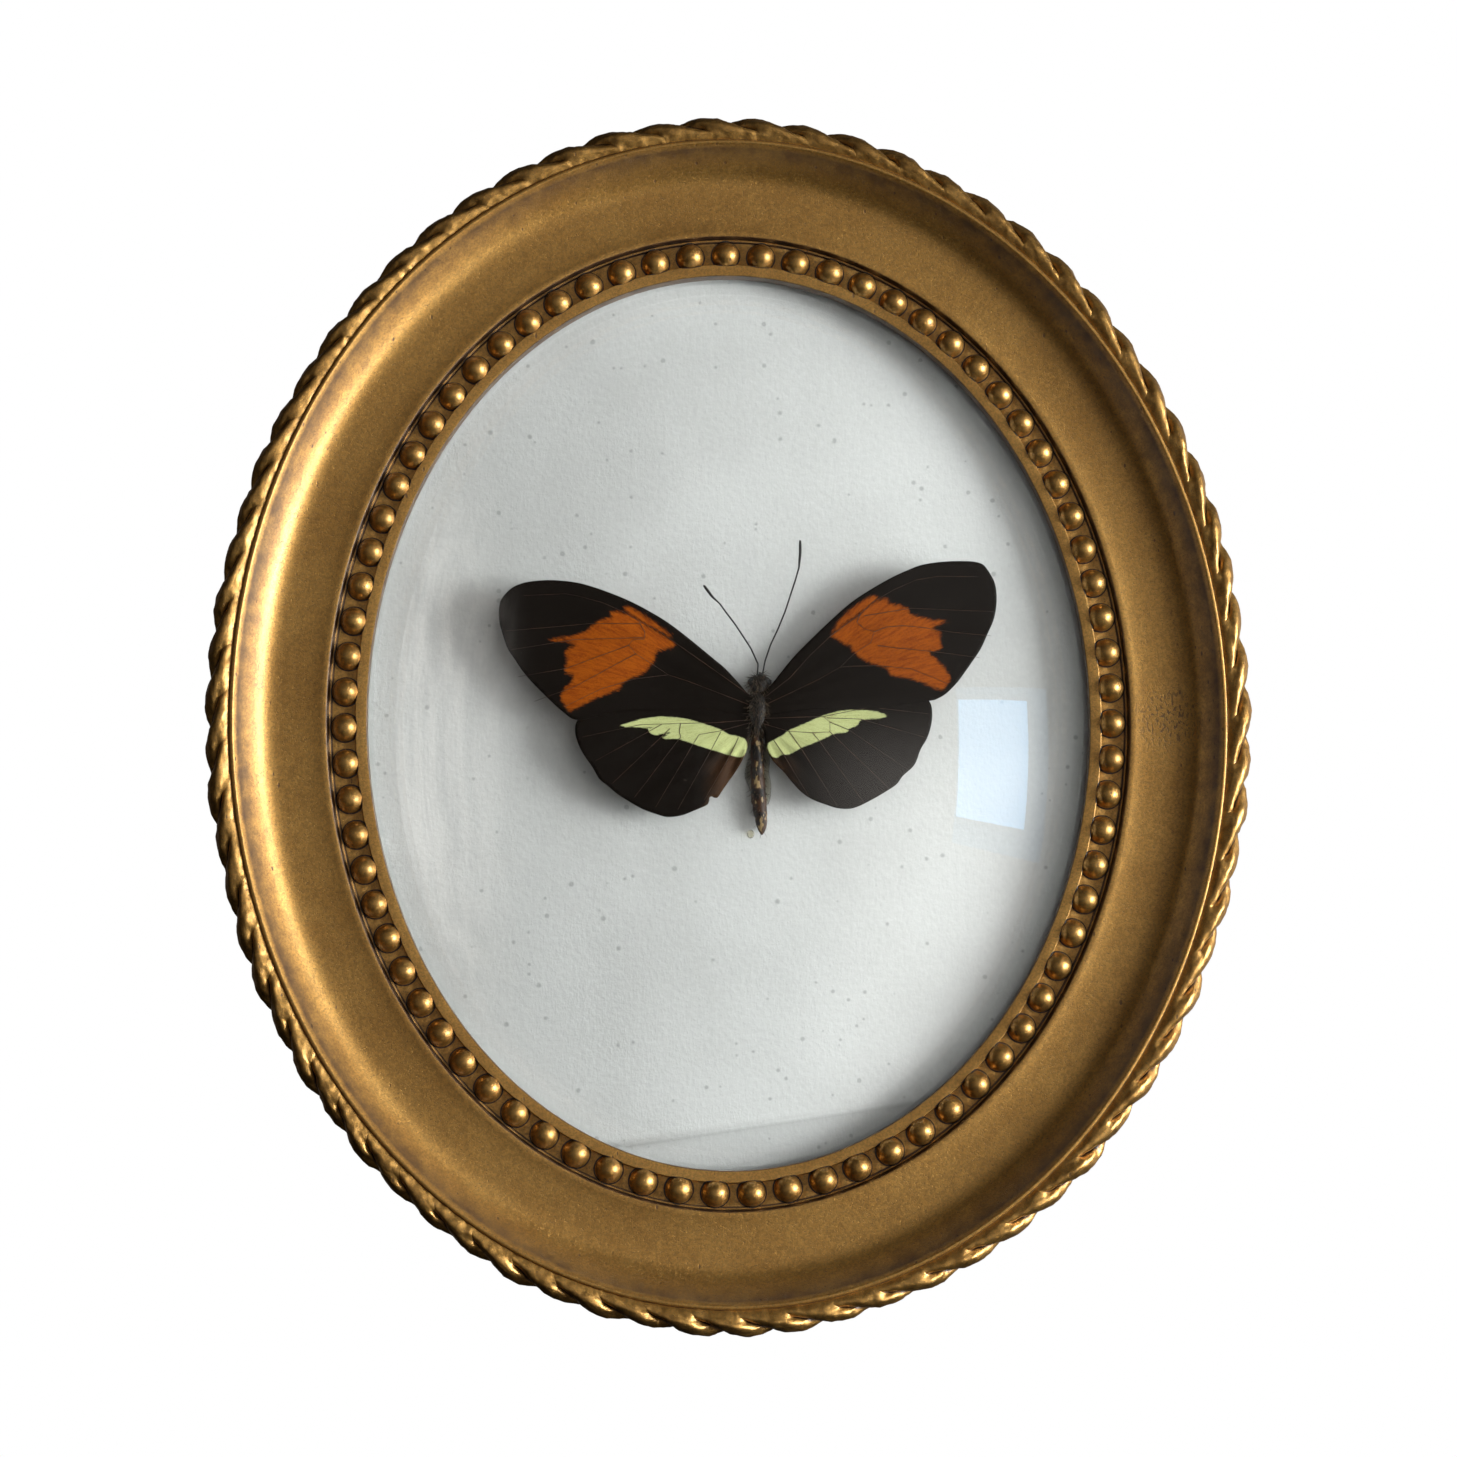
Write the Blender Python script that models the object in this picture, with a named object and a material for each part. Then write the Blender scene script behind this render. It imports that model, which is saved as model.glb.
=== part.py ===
"""A butterfly under domed glass in an oval gilt wall frame.

Metres, +Z up, as it hangs: the front faces -Y, the wall is the plane y = 0, and the
origin is the centre of the backing board's rear face. Heights below are measured from
the wall towards the viewer, and "offset" is the distance outwards from the sight edge,
the inner edge of the moulding that the glass is seen through.
"""

import math

import bmesh
import bpy
from mathutils import Vector

MM = 0.001
GAP = 0.3 * MM

# Oval of the sight edge
SIGHT_HALF_WIDTH = 50.8 * MM
SIGHT_HALF_HEIGHT = 63.25 * MM

# Moulding section: offsets from the sight edge and heights from the wall
SHELF_HEIGHT = 6.9 * MM
REBATE_OFFSET = 2.8 * MM
BAND_ROUND = 0.35 * MM
BAND_LOW_HEIGHT = 8.95 * MM
BAND_OFFSET = 1.6 * MM
BAND_HEIGHT = 9.4 * MM
CHANNEL_INNER_OFFSET = 1.75 * MM
CHANNEL_OUTER_OFFSET = 5.1 * MM
CHANNEL_HEIGHT = 8.4 * MM
STEP_OFFSET = 5.55 * MM
STEP_HEIGHT = 9.95 * MM
SCOOP_INNER_OFFSET = 5.85 * MM
SCOOP_OUTER_OFFSET = 18.0 * MM
SCOOP_INNER_HEIGHT = 10.2 * MM
SCOOP_INNER_SLOPE = math.radians(24.0)
SCOOP_OUTER_SLOPE = math.radians(44.0)
SCOOP_STEPS = 5
LIP_WIDTH = 0.7 * MM
SIDE_OFFSET = 20.7 * MM
SIDE_HEIGHT = 7.4 * MM
BACK_OFFSET = 19.6 * MM

# Rope along the outer edge
ROPE_STRANDS = 72
ROPE_OFFSET = 19.95 * MM
ROPE_HEIGHT = 10.55 * MM
ROPE_RADIUS = 2.1 * MM
ROPE_CREST = 0.15 * MM
ROPE_GROOVE = -0.45 * MM
ROPE_FIRST_ANGLE = math.radians(-40.0)
ROPE_LAST_ANGLE = math.radians(140.0)
ROPE_ROWS = 7

# Beads in the channel
BEAD_COUNT = 75
BEAD_OFFSET = 3.1 * MM
BEAD_RADIUS = 1.9 * MM
BEAD_SINK = 0.1 * MM
BEAD_FOOT_DEPTH = 0.35 * MM
BEAD_SIDES = 7

# Domed glass with a flat rim behind the sight edge
GLASS_SIDES = 28
GLASS_THICKNESS = 1.8 * MM
GLASS_FOOT_INSET = 0.5 * MM
GLASS_INNER_INSET = 1.2 * MM
GLASS_RIM_OFFSET = REBATE_OFFSET - 0.4 * MM
GLASS_RIM_TOP = SHELF_HEIGHT - GAP
GLASS_RISE = 18.0 * MM
GLASS_EDGE_SLOPE = math.radians(39.5)
GLASS_RINGS = 5

# Card and backing board behind the glass
CARD_FRONT = GLASS_RIM_TOP - GLASS_THICKNESS - GAP
CARD_THICKNESS = 0.8 * MM
BOARD_FRONT = CARD_FRONT - CARD_THICKNESS - GAP
SHEET_OFFSET = REBATE_OFFSET - 0.3 * MM
SHEET_SIDES = 48

# Butterfly: drawn about the middle of its thorax, then set on the card
SPECIMEN_SCALE = 0.984
SPECIMEN_X = 3.9 * MM
SPECIMEN_Z = 0.7 * MM
BODY_HEIGHT = 7.0 * MM
BODY_SIDES = 10
WING_THICKNESS = 0.4 * MM
WING_ROOT_HEIGHT = 8.0 * MM
FOREWING_LIFT = 0.045
HINDWING_LIFT = 0.030
HINDWING_RAISE = 0.15 * MM
ANTENNA_RADIUS = 0.16 * MM
CLUB_RADIUS = 0.28 * MM
ANTENNA_SIDES = 5

# Clear glue under the abdomen
GLUE_THICKNESS = 0.5 * MM

# Sawtooth hanger let into the back at the top
HANGER_Z = 75.0 * MM
PLATE_WIDTH = 42.0 * MM
PLATE_HEIGHT = 7.0 * MM
PLATE_THICKNESS = 0.9 * MM
PLATE_INSET = 0.1 * MM
TOOTH_COUNT = 7
TOOTH_PITCH = 2.4 * MM
TOOTH_DEPTH = 1.2 * MM
HEAD_SLOT_WIDTH = 26.0 * MM
HEAD_SLOT_HEIGHT = 12.0 * MM
HEAD_SLOT_DEPTH = 3.4 * MM
NAIL_X = 17.5 * MM
NAIL_RADIUS = 0.6 * MM
NAIL_HEAD_RADIUS = 1.5 * MM
NAIL_LENGTH = 5.0 * MM
NAIL_SIDES = 10

# Outlines in millimetres, x to the viewer's right and z up
LEFT_FOREWING = [
    (0.4, 1.6), (-2.6, 4.1), (-5.9, 7.4), (-9.6, 10.5), (-15.4, 14.5), (-20.7, 17.0), (-25.4, 18.5),
    (-30.3, 18.8), (-34.5, 17.8), (-36.3, 15.7), (-36.4, 12.6), (-35.3, 9.0), (-33.4, 6.1), (-30.3, 2.6),
    (-25.6, -1.2), (-18.6, 0.1), (-11.9, -0.4), (-6.5, -1.0), (0.4, -1.6),
]
RIGHT_FOREWING = [
    (-0.4, 1.6), (0.9, 3.0), (4.9, 7.4), (9.7, 12.2), (15.2, 16.7), (21.8, 20.2), (26.8, 21.3), (31.4, 21.1),
    (33.4, 19.1), (34.1, 16.3), (33.6, 12.7), (31.8, 8.7), (28.4, 3.9), (24.6, 1.3), (18.0, 0.5), (12.0, -0.2),
    (6.0, -1.0), (-0.4, -1.6),
]
LEFT_HINDWING = [
    (0.4, -0.2), (-8.0, 0.6), (-16.0, 0.9), (-22.0, -0.2), (-25.7, -1.6), (-25.3, -4.8), (-22.4, -9.6),
    (-18.2, -12.8), (-12.9, -15.0), (-7.1, -13.2), (-6.5, -12.1), (-5.8, -12.3), (-3.5, -9.0), (-1.4, -5.0),
    (0.4, -4.4),
]
RIGHT_HINDWING = [
    (-0.4, -0.2), (7.0, 0.6), (12.7, 1.1), (20.9, 2.2), (24.5, 1.1), (24.6, -2.3), (22.2, -7.8), (17.4, -12.0),
    (12.9, -14.0), (9.6, -13.4), (6.3, -11.7), (3.6, -8.5), (1.6, -5.8), (-0.4, -4.8),
]
# Body stations from the head's front to the abdomen's tip: z, x, half width, half depth
BODY_STATIONS = [
    (5.4, 0.4, 0.55, 0.5), (4.9, 0.4, 1.25, 1.0), (3.9, 0.4, 1.4, 1.15), (3.0, 0.35, 0.95, 0.95),
    (2.2, 0.3, 1.3, 1.6), (0.0, 0.1, 1.45, 1.8), (-2.2, 0.0, 1.2, 1.6), (-3.2, -0.1, 0.85, 0.95),
    (-5.5, -0.1, 1.0, 1.05), (-9.9, 0.0, 1.08, 1.12), (-13.0, 0.2, 1.12, 1.1), (-15.8, 0.45, 0.85, 0.85),
    (-17.4, 0.6, 0.35, 0.4),
]
LEFT_ANTENNA = [(0.1, 4.9), (0.2, 6.9), (-1.9, 10.8), (-4.4, 14.3), (-6.3, 16.4), (-7.5, 18.0)]
RIGHT_ANTENNA = [(0.7, 4.9), (1.2, 7.3), (3.1, 11.9), (4.8, 16.4), (6.1, 20.5), (6.3, 24.4)]
GLUE_OUTLINE = [
    (-0.9, -4.6), (-1.6, -7.4), (-1.7, -9.8), (-1.2, -12.6), (-1.2, -16.4), (-0.2, -18.0), (0.9, -17.4),
    (1.4, -14.6), (2.0, -12.6), (2.2, -8.8), (1.8, -5.4), (0.9, -4.4),
]

GILT = ("aged_gilt", (0.36, 0.22, 0.07), 0.42, 0.9)
GLASS = ("clear_glass", (0.93, 0.95, 0.95), 0.03, 0.0)
PAPER = ("pale_card", (0.62, 0.65, 0.66), 0.9, 0.0)
BOARD = ("backing_board", (0.30, 0.22, 0.14), 0.85, 0.0)
INSECT = ("butterfly", (0.05, 0.03, 0.015), 0.6, 0.0)
GLUE = ("clear_glue", (0.85, 0.83, 0.76), 0.15, 0.0)
STEEL = ("brassed_steel", (0.60, 0.48, 0.25), 0.35, 1.0)


def clear_scene():
    """Removes every object of the open file."""
    for item in list(bpy.data.objects):
        bpy.data.objects.remove(item, do_unlink=True)


def finish_of(finish):
    """Returns the Principled material for a finish: name, colour, roughness, metallic."""
    name, colour, roughness, metallic = finish
    material = bpy.data.materials.get(name)
    if material is None:
        material = bpy.data.materials.new(name)
        material.use_nodes = True
        shader = material.node_tree.nodes["Principled BSDF"]
        shader.inputs["Base Color"].default_value = (*colour, 1.0)
        shader.inputs["Roughness"].default_value = roughness
        shader.inputs["Metallic"].default_value = metallic
    return material


def add_object(name, vertices, faces, finish, smooth_angle=None):
    """Makes a linked object from vertices and faces, with its normals facing out."""
    mesh = bpy.data.meshes.new(name)
    mesh.from_pydata([tuple(v) for v in vertices], [], faces)
    work = bmesh.new()
    work.from_mesh(mesh)
    bmesh.ops.recalc_face_normals(work, faces=work.faces)
    work.to_mesh(mesh)
    work.free()
    mesh.materials.append(finish_of(finish))
    if smooth_angle is not None:
        mesh.shade_smooth()
        mesh.set_sharp_from_angle(angle=math.radians(smooth_angle))
    item = bpy.data.objects.new(name, mesh)
    bpy.context.scene.collection.objects.link(item)
    return item


def combine(target, other, operation):
    """Joins other to target, or cuts it out, and leaves other as a hidden guide."""
    other.hide_render = True
    other.display_type = "WIRE"
    modifier = target.modifiers.new(operation.lower(), "BOOLEAN")
    modifier.operation = operation
    modifier.solver = "EXACT"
    modifier.object = other


def oval(offset, angle, height):
    """Returns the point at an angle on the oval that lies offset outside the sight edge."""
    return Vector((
        (SIGHT_HALF_WIDTH + offset) * math.cos(angle),
        -height,
        (SIGHT_HALF_HEIGHT + offset) * math.sin(angle),
    ))


def even_angles(offset, count, samples=3600):
    """Returns angles that part the oval at this offset into count equal lengths."""
    steps = [oval(offset, math.tau * i / samples, 0.0) for i in range(samples + 1)]
    run = [0.0]
    for before, after in zip(steps, steps[1:]):
        run.append(run[-1] + (after - before).length)
    angles = []
    place = 0
    for k in range(count):
        wanted = run[-1] * k / count
        while run[place + 1] < wanted:
            place += 1
        part = (wanted - run[place]) / (run[place + 1] - run[place])
        angles.append(math.tau * (place + part) / samples)
    return angles


def ring_faces(first, second, count):
    """Returns the quads between two rings of count vertices that start at these indices."""
    return [
        (first + i, first + (i + 1) % count, second + (i + 1) % count, second + i)
        for i in range(count)
    ]


def section_inside():
    """Returns the section from the rebate shelf's inner edge up to the lip, as offset and height."""
    points = [
        (0.0, SHELF_HEIGHT),
        (0.0, BAND_LOW_HEIGHT - BAND_ROUND),
        (BAND_ROUND, BAND_LOW_HEIGHT),
        (BAND_OFFSET, BAND_HEIGHT),
        (CHANNEL_INNER_OFFSET, CHANNEL_HEIGHT),
        (CHANNEL_OUTER_OFFSET, CHANNEL_HEIGHT),
        (STEP_OFFSET, STEP_HEIGHT),
    ]
    points += scoop()
    lip_height = points[-1][1]
    points.append((SCOOP_OUTER_OFFSET + LIP_WIDTH, lip_height))
    return points


def scoop():
    """Returns the scoop of the moulding: an arc that falls from the lip and rises again to the step."""
    width = SCOOP_OUTER_OFFSET - SCOOP_INNER_OFFSET
    radius = width / (math.sin(SCOOP_INNER_SLOPE) + math.sin(SCOOP_OUTER_SLOPE))
    bottom_offset = SCOOP_INNER_OFFSET + radius * math.sin(SCOOP_INNER_SLOPE)
    bottom_height = SCOOP_INNER_HEIGHT - radius * (1.0 - math.cos(SCOOP_INNER_SLOPE))
    points = []
    for i in range(SCOOP_STEPS + 1):
        slope = -SCOOP_INNER_SLOPE + (SCOOP_INNER_SLOPE + SCOOP_OUTER_SLOPE) * i / SCOOP_STEPS
        points.append((
            bottom_offset + radius * math.sin(slope),
            bottom_height + radius * (1.0 - math.cos(slope)),
        ))
    return points


def section_outside():
    """Returns the section from under the rope, down the side, along the back and up the rebate."""
    return [
        (SIDE_OFFSET, SIDE_HEIGHT),
        (BACK_OFFSET, 0.0),
        (REBATE_OFFSET, 0.0),
        (REBATE_OFFSET, SHELF_HEIGHT),
    ]


def rope_row(share, angles):
    """Returns one row of the rope, a share of the way round it from the lip to its underside.

    Two points a strand, one in the groove and one on the crest. Each row is turned a
    little further than the one before, so the grooves run slantwise across the rope.
    """
    around = ROPE_FIRST_ANGLE + (ROPE_LAST_ANGLE - ROPE_FIRST_ANGLE) * share
    relief = math.sin(math.pi * min(1.0, share * 1.15)) ** 0.6 if share < 0.87 else 0.35
    points = []
    count = len(angles)
    for k in range(2 * count):
        start = angles[k // 2]
        end = angles[(k // 2 + 1) % count] + (math.tau if k // 2 + 1 == count else 0.0)
        angle = start + (end - start) * (0.5 * (k % 2) + share)
        swell = (ROPE_CREST if k % 2 else ROPE_GROOVE) * relief
        radius = ROPE_RADIUS + swell
        points.append(oval(
            ROPE_OFFSET + radius * math.sin(around),
            angle,
            ROPE_HEIGHT + radius * math.cos(around),
        ))
    return points


def zip_faces(coarse, fine, count, turn):
    """Returns triangles between a coarse ring and one with twice its points."""
    faces = []
    for i in range(count):
        here = coarse + (i + turn) % count
        ahead = coarse + (i + 1 + turn) % count
        low = fine + 2 * i
        middle = fine + 2 * i + 1
        high = fine + (2 * i + 2) % (2 * count)
        faces += [(here, low, middle), (here, middle, ahead), (ahead, middle, high)]
    return faces


def make_moulding():
    """Makes the oval moulding with its rope edge and its row of beads as one piece."""
    count = ROPE_STRANDS
    angles = even_angles(ROPE_OFFSET, count)
    vertices = []
    coarse_rows = []
    for offset, height in section_inside():
        coarse_rows.append(len(vertices))
        vertices += [oval(offset, a, height) for a in angles]
    fine_rows = []
    for j in range(ROPE_ROWS):
        fine_rows.append(len(vertices))
        vertices += rope_row(j / (ROPE_ROWS - 1), angles)
    outer_rows = []
    for offset, height in section_outside():
        outer_rows.append(len(vertices))
        vertices += [oval(offset, a, height) for a in angles]
    faces = []
    for first, second in zip(coarse_rows, coarse_rows[1:]):
        faces += ring_faces(first, second, count)
    faces += zip_faces(coarse_rows[-1], fine_rows[0], count, 0)
    for first, second in zip(fine_rows, fine_rows[1:]):
        faces += ring_faces(first, second, 2 * count)
    faces += zip_faces(outer_rows[0], fine_rows[-1], count, 1)
    for first, second in zip(outer_rows, outer_rows[1:] + coarse_rows[:1]):
        faces += ring_faces(first, second, count)
    moulding = add_object("frame_moulding", vertices, faces, GILT, 35.0)
    combine(moulding, make_bead_row(), "UNION")
    combine(moulding, make_box("hanger_slot", PLATE_WIDTH + 2 * GAP, PLATE_HEIGHT + 2 * GAP,
                               PLATE_THICKNESS + PLATE_INSET + GAP, HANGER_Z), "DIFFERENCE")
    slot_z = HANGER_Z - 0.5 * (HEAD_SLOT_HEIGHT - PLATE_HEIGHT)
    combine(moulding, make_box("head_slot", HEAD_SLOT_WIDTH, HEAD_SLOT_HEIGHT,
                               HEAD_SLOT_DEPTH, slot_z), "DIFFERENCE")
    for side in (-1, 1):
        hole = make_rod("nail_hole", side * NAIL_X, NAIL_RADIUS + GAP, NAIL_LENGTH + GAP)
        combine(moulding, hole, "DIFFERENCE")
    return moulding


def make_bead_row():
    """Makes the beads that are joined to the channel floor, evenly spaced round the oval."""
    vertices = []
    faces = []
    for angle in even_angles(BEAD_OFFSET, BEAD_COUNT):
        base = len(vertices)
        centre = oval(BEAD_OFFSET, angle, CHANNEL_HEIGHT - BEAD_SINK)
        for lift in (-BEAD_FOOT_DEPTH, 0.0, BEAD_RADIUS * math.sin(math.radians(50.0))):
            radius = math.sqrt(BEAD_RADIUS ** 2 - max(lift, 0.0) ** 2)
            for k in range(BEAD_SIDES):
                turn = angle + math.tau * (k + 0.5) / BEAD_SIDES
                vertices.append(centre + Vector((
                    radius * math.cos(turn), -lift, radius * math.sin(turn))))
        vertices.append(centre + Vector((0.0, -BEAD_RADIUS, 0.0)))
        crown = len(vertices) - 1
        for row in range(2):
            faces += ring_faces(base + row * BEAD_SIDES, base + (row + 1) * BEAD_SIDES, BEAD_SIDES)
        last = base + 2 * BEAD_SIDES
        faces += [(last + k, last + (k + 1) % BEAD_SIDES, crown) for k in range(BEAD_SIDES)]
        faces.append(tuple(base + k for k in reversed(range(BEAD_SIDES))))
    return add_object("bead_row", vertices, faces, GILT)


def make_box(name, width, height, depth, z):
    """Makes a cutter that reaches depth into the back from just behind the wall plane."""
    back = 1.0 * MM
    corners = [
        Vector((x * 0.5 * width, y, z + s * 0.5 * height))
        for y in (back, -depth) for x, s in ((-1, -1), (1, -1), (1, 1), (-1, 1))
    ]
    faces = ring_faces(0, 4, 4) + [(0, 1, 2, 3), (4, 5, 6, 7)]
    return add_object(name, corners, faces, GILT)


def make_rod(name, x, radius, length):
    """Makes a round cutter that reaches length into the back at the hanger's height."""
    vertices = []
    for y in (1.0 * MM, -length):
        for k in range(NAIL_SIDES):
            turn = math.tau * k / NAIL_SIDES
            vertices.append(Vector((
                x + radius * math.cos(turn), y, HANGER_Z + radius * math.sin(turn))))
    faces = ring_faces(0, NAIL_SIDES, NAIL_SIDES)
    faces += [tuple(range(NAIL_SIDES)), tuple(range(NAIL_SIDES, 2 * NAIL_SIDES))]
    return add_object(name, vertices, faces, GILT)


def dome_rings(inset, base):
    """Returns the rings of a dome that is a spherical cap stretched to the oval, from its foot up.

    Each ring is the inset of its oval from the sight edge, its share of that oval, and its height.
    """
    edge_level = math.cos(GLASS_EDGE_SLOPE)
    rings = []
    for i in range(GLASS_RINGS):
        slope = GLASS_EDGE_SLOPE * (1.0 - i / GLASS_RINGS)
        share = math.sin(slope) / math.sin(GLASS_EDGE_SLOPE)
        rise = GLASS_RISE * (math.cos(slope) - edge_level) / (1.0 - edge_level)
        rings.append((inset, share, base + rise))
    return rings


def make_glass():
    """Makes the domed glass: a thin shell, open at the back, with a flat rim."""
    count = GLASS_SIDES
    rim_bottom = GLASS_RIM_TOP - GLASS_THICKNESS
    rows = list(reversed(dome_rings(GLASS_FOOT_INSET, GLASS_RIM_TOP)))
    rows += [(-GLASS_RIM_OFFSET, 1.0, GLASS_RIM_TOP), (-GLASS_RIM_OFFSET, 1.0, rim_bottom)]
    rows += dome_rings(GLASS_INNER_INSET, rim_bottom)
    vertices = [Vector((0.0, -(GLASS_RIM_TOP + GLASS_RISE), 0.0))]
    for inset, share, height in rows:
        for k in range(count):
            angle = math.tau * k / count
            vertices.append(Vector((
                (SIGHT_HALF_WIDTH - inset) * share * math.cos(angle),
                -height,
                (SIGHT_HALF_HEIGHT - inset) * share * math.sin(angle),
            )))
    vertices.append(Vector((0.0, -(rim_bottom + GLASS_RISE), 0.0)))
    faces = [(0, 1 + (k + 1) % count, 1 + k) for k in range(count)]
    for row in range(len(rows) - 1):
        faces += ring_faces(1 + row * count, 1 + (row + 1) * count, count)
    last = 1 + (len(rows) - 1) * count
    faces += [(len(vertices) - 1, last + k, last + (k + 1) % count) for k in range(count)]
    return add_object("glass_dome", vertices, faces, GLASS, 30.0)


def make_sheet(name, front, thickness, finish):
    """Makes an oval sheet that lies in the rebate, its front face at this height."""
    vertices = []
    for height in (front, front - thickness):
        vertices += [oval(SHEET_OFFSET, math.tau * k / SHEET_SIDES, height) for k in range(SHEET_SIDES)]
    faces = ring_faces(0, SHEET_SIDES, SHEET_SIDES)
    faces += [tuple(range(SHEET_SIDES)), tuple(reversed(range(SHEET_SIDES, 2 * SHEET_SIDES)))]
    return add_object(name, vertices, faces, finish)


def on_specimen(x, z, height):
    """Returns a point of the specimen from its own millimetres and its height from the wall."""
    scale = SPECIMEN_SCALE * MM
    return Vector((SPECIMEN_X + x * scale, -height, SPECIMEN_Z + z * scale))


def make_plate(name, outline, lift, raise_by, finish):
    """Makes a thin wing plate from its outline, rising away from the body by lift."""
    vertices = []
    for level in (0.5 * WING_THICKNESS, -0.5 * WING_THICKNESS):
        for x, z in outline:
            height = WING_ROOT_HEIGHT + raise_by + lift * abs(x) * MM + level
            vertices.append(on_specimen(x, z, height))
    count = len(outline)
    faces = ring_faces(0, count, count)
    faces += [tuple(range(count)), tuple(reversed(range(count, 2 * count)))]
    return add_object(name, vertices, faces, finish)


def make_tube(name, path, heights, radii, sides, finish):
    """Makes a tube through points of the specimen, with flat ends."""
    vertices = []
    for i, (x, z) in enumerate(path):
        before = path[max(i - 1, 0)]
        after = path[min(i + 1, len(path) - 1)]
        along = Vector((after[0] - before[0], 0.0, after[1] - before[1])).normalized()
        across = along.cross(Vector((0.0, 1.0, 0.0)))
        for k in range(sides):
            turn = math.tau * k / sides
            vertices.append(
                on_specimen(x, z, heights[i])
                + across * (radii[i] * math.cos(turn))
                + Vector((0.0, radii[i] * math.sin(turn), 0.0))
            )
    faces = []
    for i in range(len(path) - 1):
        faces += ring_faces(i * sides, (i + 1) * sides, sides)
    last = (len(path) - 1) * sides
    faces += [tuple(reversed(range(sides))), tuple(range(last, last + sides))]
    return add_object(name, vertices, faces, finish)


def make_body():
    """Makes the head, thorax and abdomen as one closed form."""
    vertices = []
    for z, x, half_width, half_depth in BODY_STATIONS:
        for k in range(BODY_SIDES):
            turn = math.tau * k / BODY_SIDES
            height = BODY_HEIGHT + half_depth * MM * math.sin(turn)
            vertices.append(on_specimen(x + half_width * math.cos(turn), z, height))
    faces = []
    for i in range(len(BODY_STATIONS) - 1):
        faces += ring_faces(i * BODY_SIDES, (i + 1) * BODY_SIDES, BODY_SIDES)
    last = (len(BODY_STATIONS) - 1) * BODY_SIDES
    faces += [tuple(range(BODY_SIDES)), tuple(range(last, last + BODY_SIDES))]
    return add_object("butterfly", vertices, faces, INSECT, 60.0)


def make_butterfly():
    """Makes the butterfly: its body, with the four wings and two antennae grown onto it."""
    body = make_body()
    wings = (
        ("left_forewing", LEFT_FOREWING, FOREWING_LIFT, 0.0),
        ("right_forewing", RIGHT_FOREWING, FOREWING_LIFT, 0.0),
        ("left_hindwing", LEFT_HINDWING, HINDWING_LIFT, HINDWING_RAISE),
        ("right_hindwing", RIGHT_HINDWING, HINDWING_LIFT, HINDWING_RAISE),
    )
    for name, outline, lift, raise_by in wings:
        combine(body, make_plate(name, outline, lift, raise_by, INSECT), "UNION")
    for name, path in (("left_antenna", LEFT_ANTENNA), ("right_antenna", RIGHT_ANTENNA)):
        heights = [BODY_HEIGHT + (0.1 + 0.35 * i) * MM for i in range(len(path))]
        radii = [ANTENNA_RADIUS] * (len(path) - 2) + [0.8 * CLUB_RADIUS, CLUB_RADIUS]
        tube = make_tube(name, path, heights, radii, ANTENNA_SIDES, INSECT)
        combine(body, tube, "UNION")
    return body


def make_glue():
    """Makes the pad of clear glue that holds the abdomen to the card."""
    low = CARD_FRONT + GAP
    vertices = []
    for height in (low + GLUE_THICKNESS, low):
        vertices += [on_specimen(x, z, height) for x, z in GLUE_OUTLINE]
    count = len(GLUE_OUTLINE)
    faces = ring_faces(0, count, count)
    faces += [tuple(range(count)), tuple(reversed(range(count, 2 * count)))]
    return add_object("glue_pad", vertices, faces, GLUE)


def make_hanger():
    """Makes the sawtooth plate: a flat strip with teeth cut along its lower edge."""
    half = 0.5 * PLATE_WIDTH
    top = HANGER_Z + 0.5 * PLATE_HEIGHT
    bottom = HANGER_Z - 0.5 * PLATE_HEIGHT
    outline = [(half, bottom), (half, top), (-half, top), (-half, bottom)]
    first = -0.5 * TOOTH_COUNT * TOOTH_PITCH
    for i in range(TOOTH_COUNT):
        start = first + i * TOOTH_PITCH
        outline += [(start, bottom), (start + 0.5 * TOOTH_PITCH, bottom + TOOTH_DEPTH)]
    outline.append((first + TOOTH_COUNT * TOOTH_PITCH, bottom))
    vertices = []
    for depth in (PLATE_INSET, PLATE_INSET + PLATE_THICKNESS):
        vertices += [Vector((x, -depth, z)) for x, z in outline]
    count = len(outline)
    faces = ring_faces(0, count, count)
    faces += [tuple(range(count)), tuple(reversed(range(count, 2 * count)))]
    plate = add_object("hanger_plate", vertices, faces, STEEL)
    for side in (-1, 1):
        combine(plate, make_rod("plate_hole", side * NAIL_X, NAIL_RADIUS + GAP, 2.0 * MM), "DIFFERENCE")
        combine(plate, make_sink(side * NAIL_X), "DIFFERENCE")
    return plate


def make_sink(x):
    """Makes the shallow round cutter that seats a nail's head in the plate."""
    return make_turned("head_sink", x, [
        (NAIL_HEAD_RADIUS + GAP, -1.0 * MM),
        (NAIL_HEAD_RADIUS + GAP, PLATE_INSET + 0.5 * PLATE_THICKNESS),
    ], STEEL)


def make_turned(name, x, profile, finish):
    """Makes a turned solid on the hanger's line from radius and depth pairs."""
    vertices = []
    for radius, depth in profile:
        for k in range(NAIL_SIDES):
            turn = math.tau * k / NAIL_SIDES
            vertices.append(Vector((
                x + radius * math.cos(turn), -depth, HANGER_Z + radius * math.sin(turn))))
    faces = []
    for i in range(len(profile) - 1):
        faces += ring_faces(i * NAIL_SIDES, (i + 1) * NAIL_SIDES, NAIL_SIDES)
    last = (len(profile) - 1) * NAIL_SIDES
    faces += [tuple(range(NAIL_SIDES)), tuple(range(last, last + NAIL_SIDES))]
    return add_object(name, vertices, faces, finish)


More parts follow.
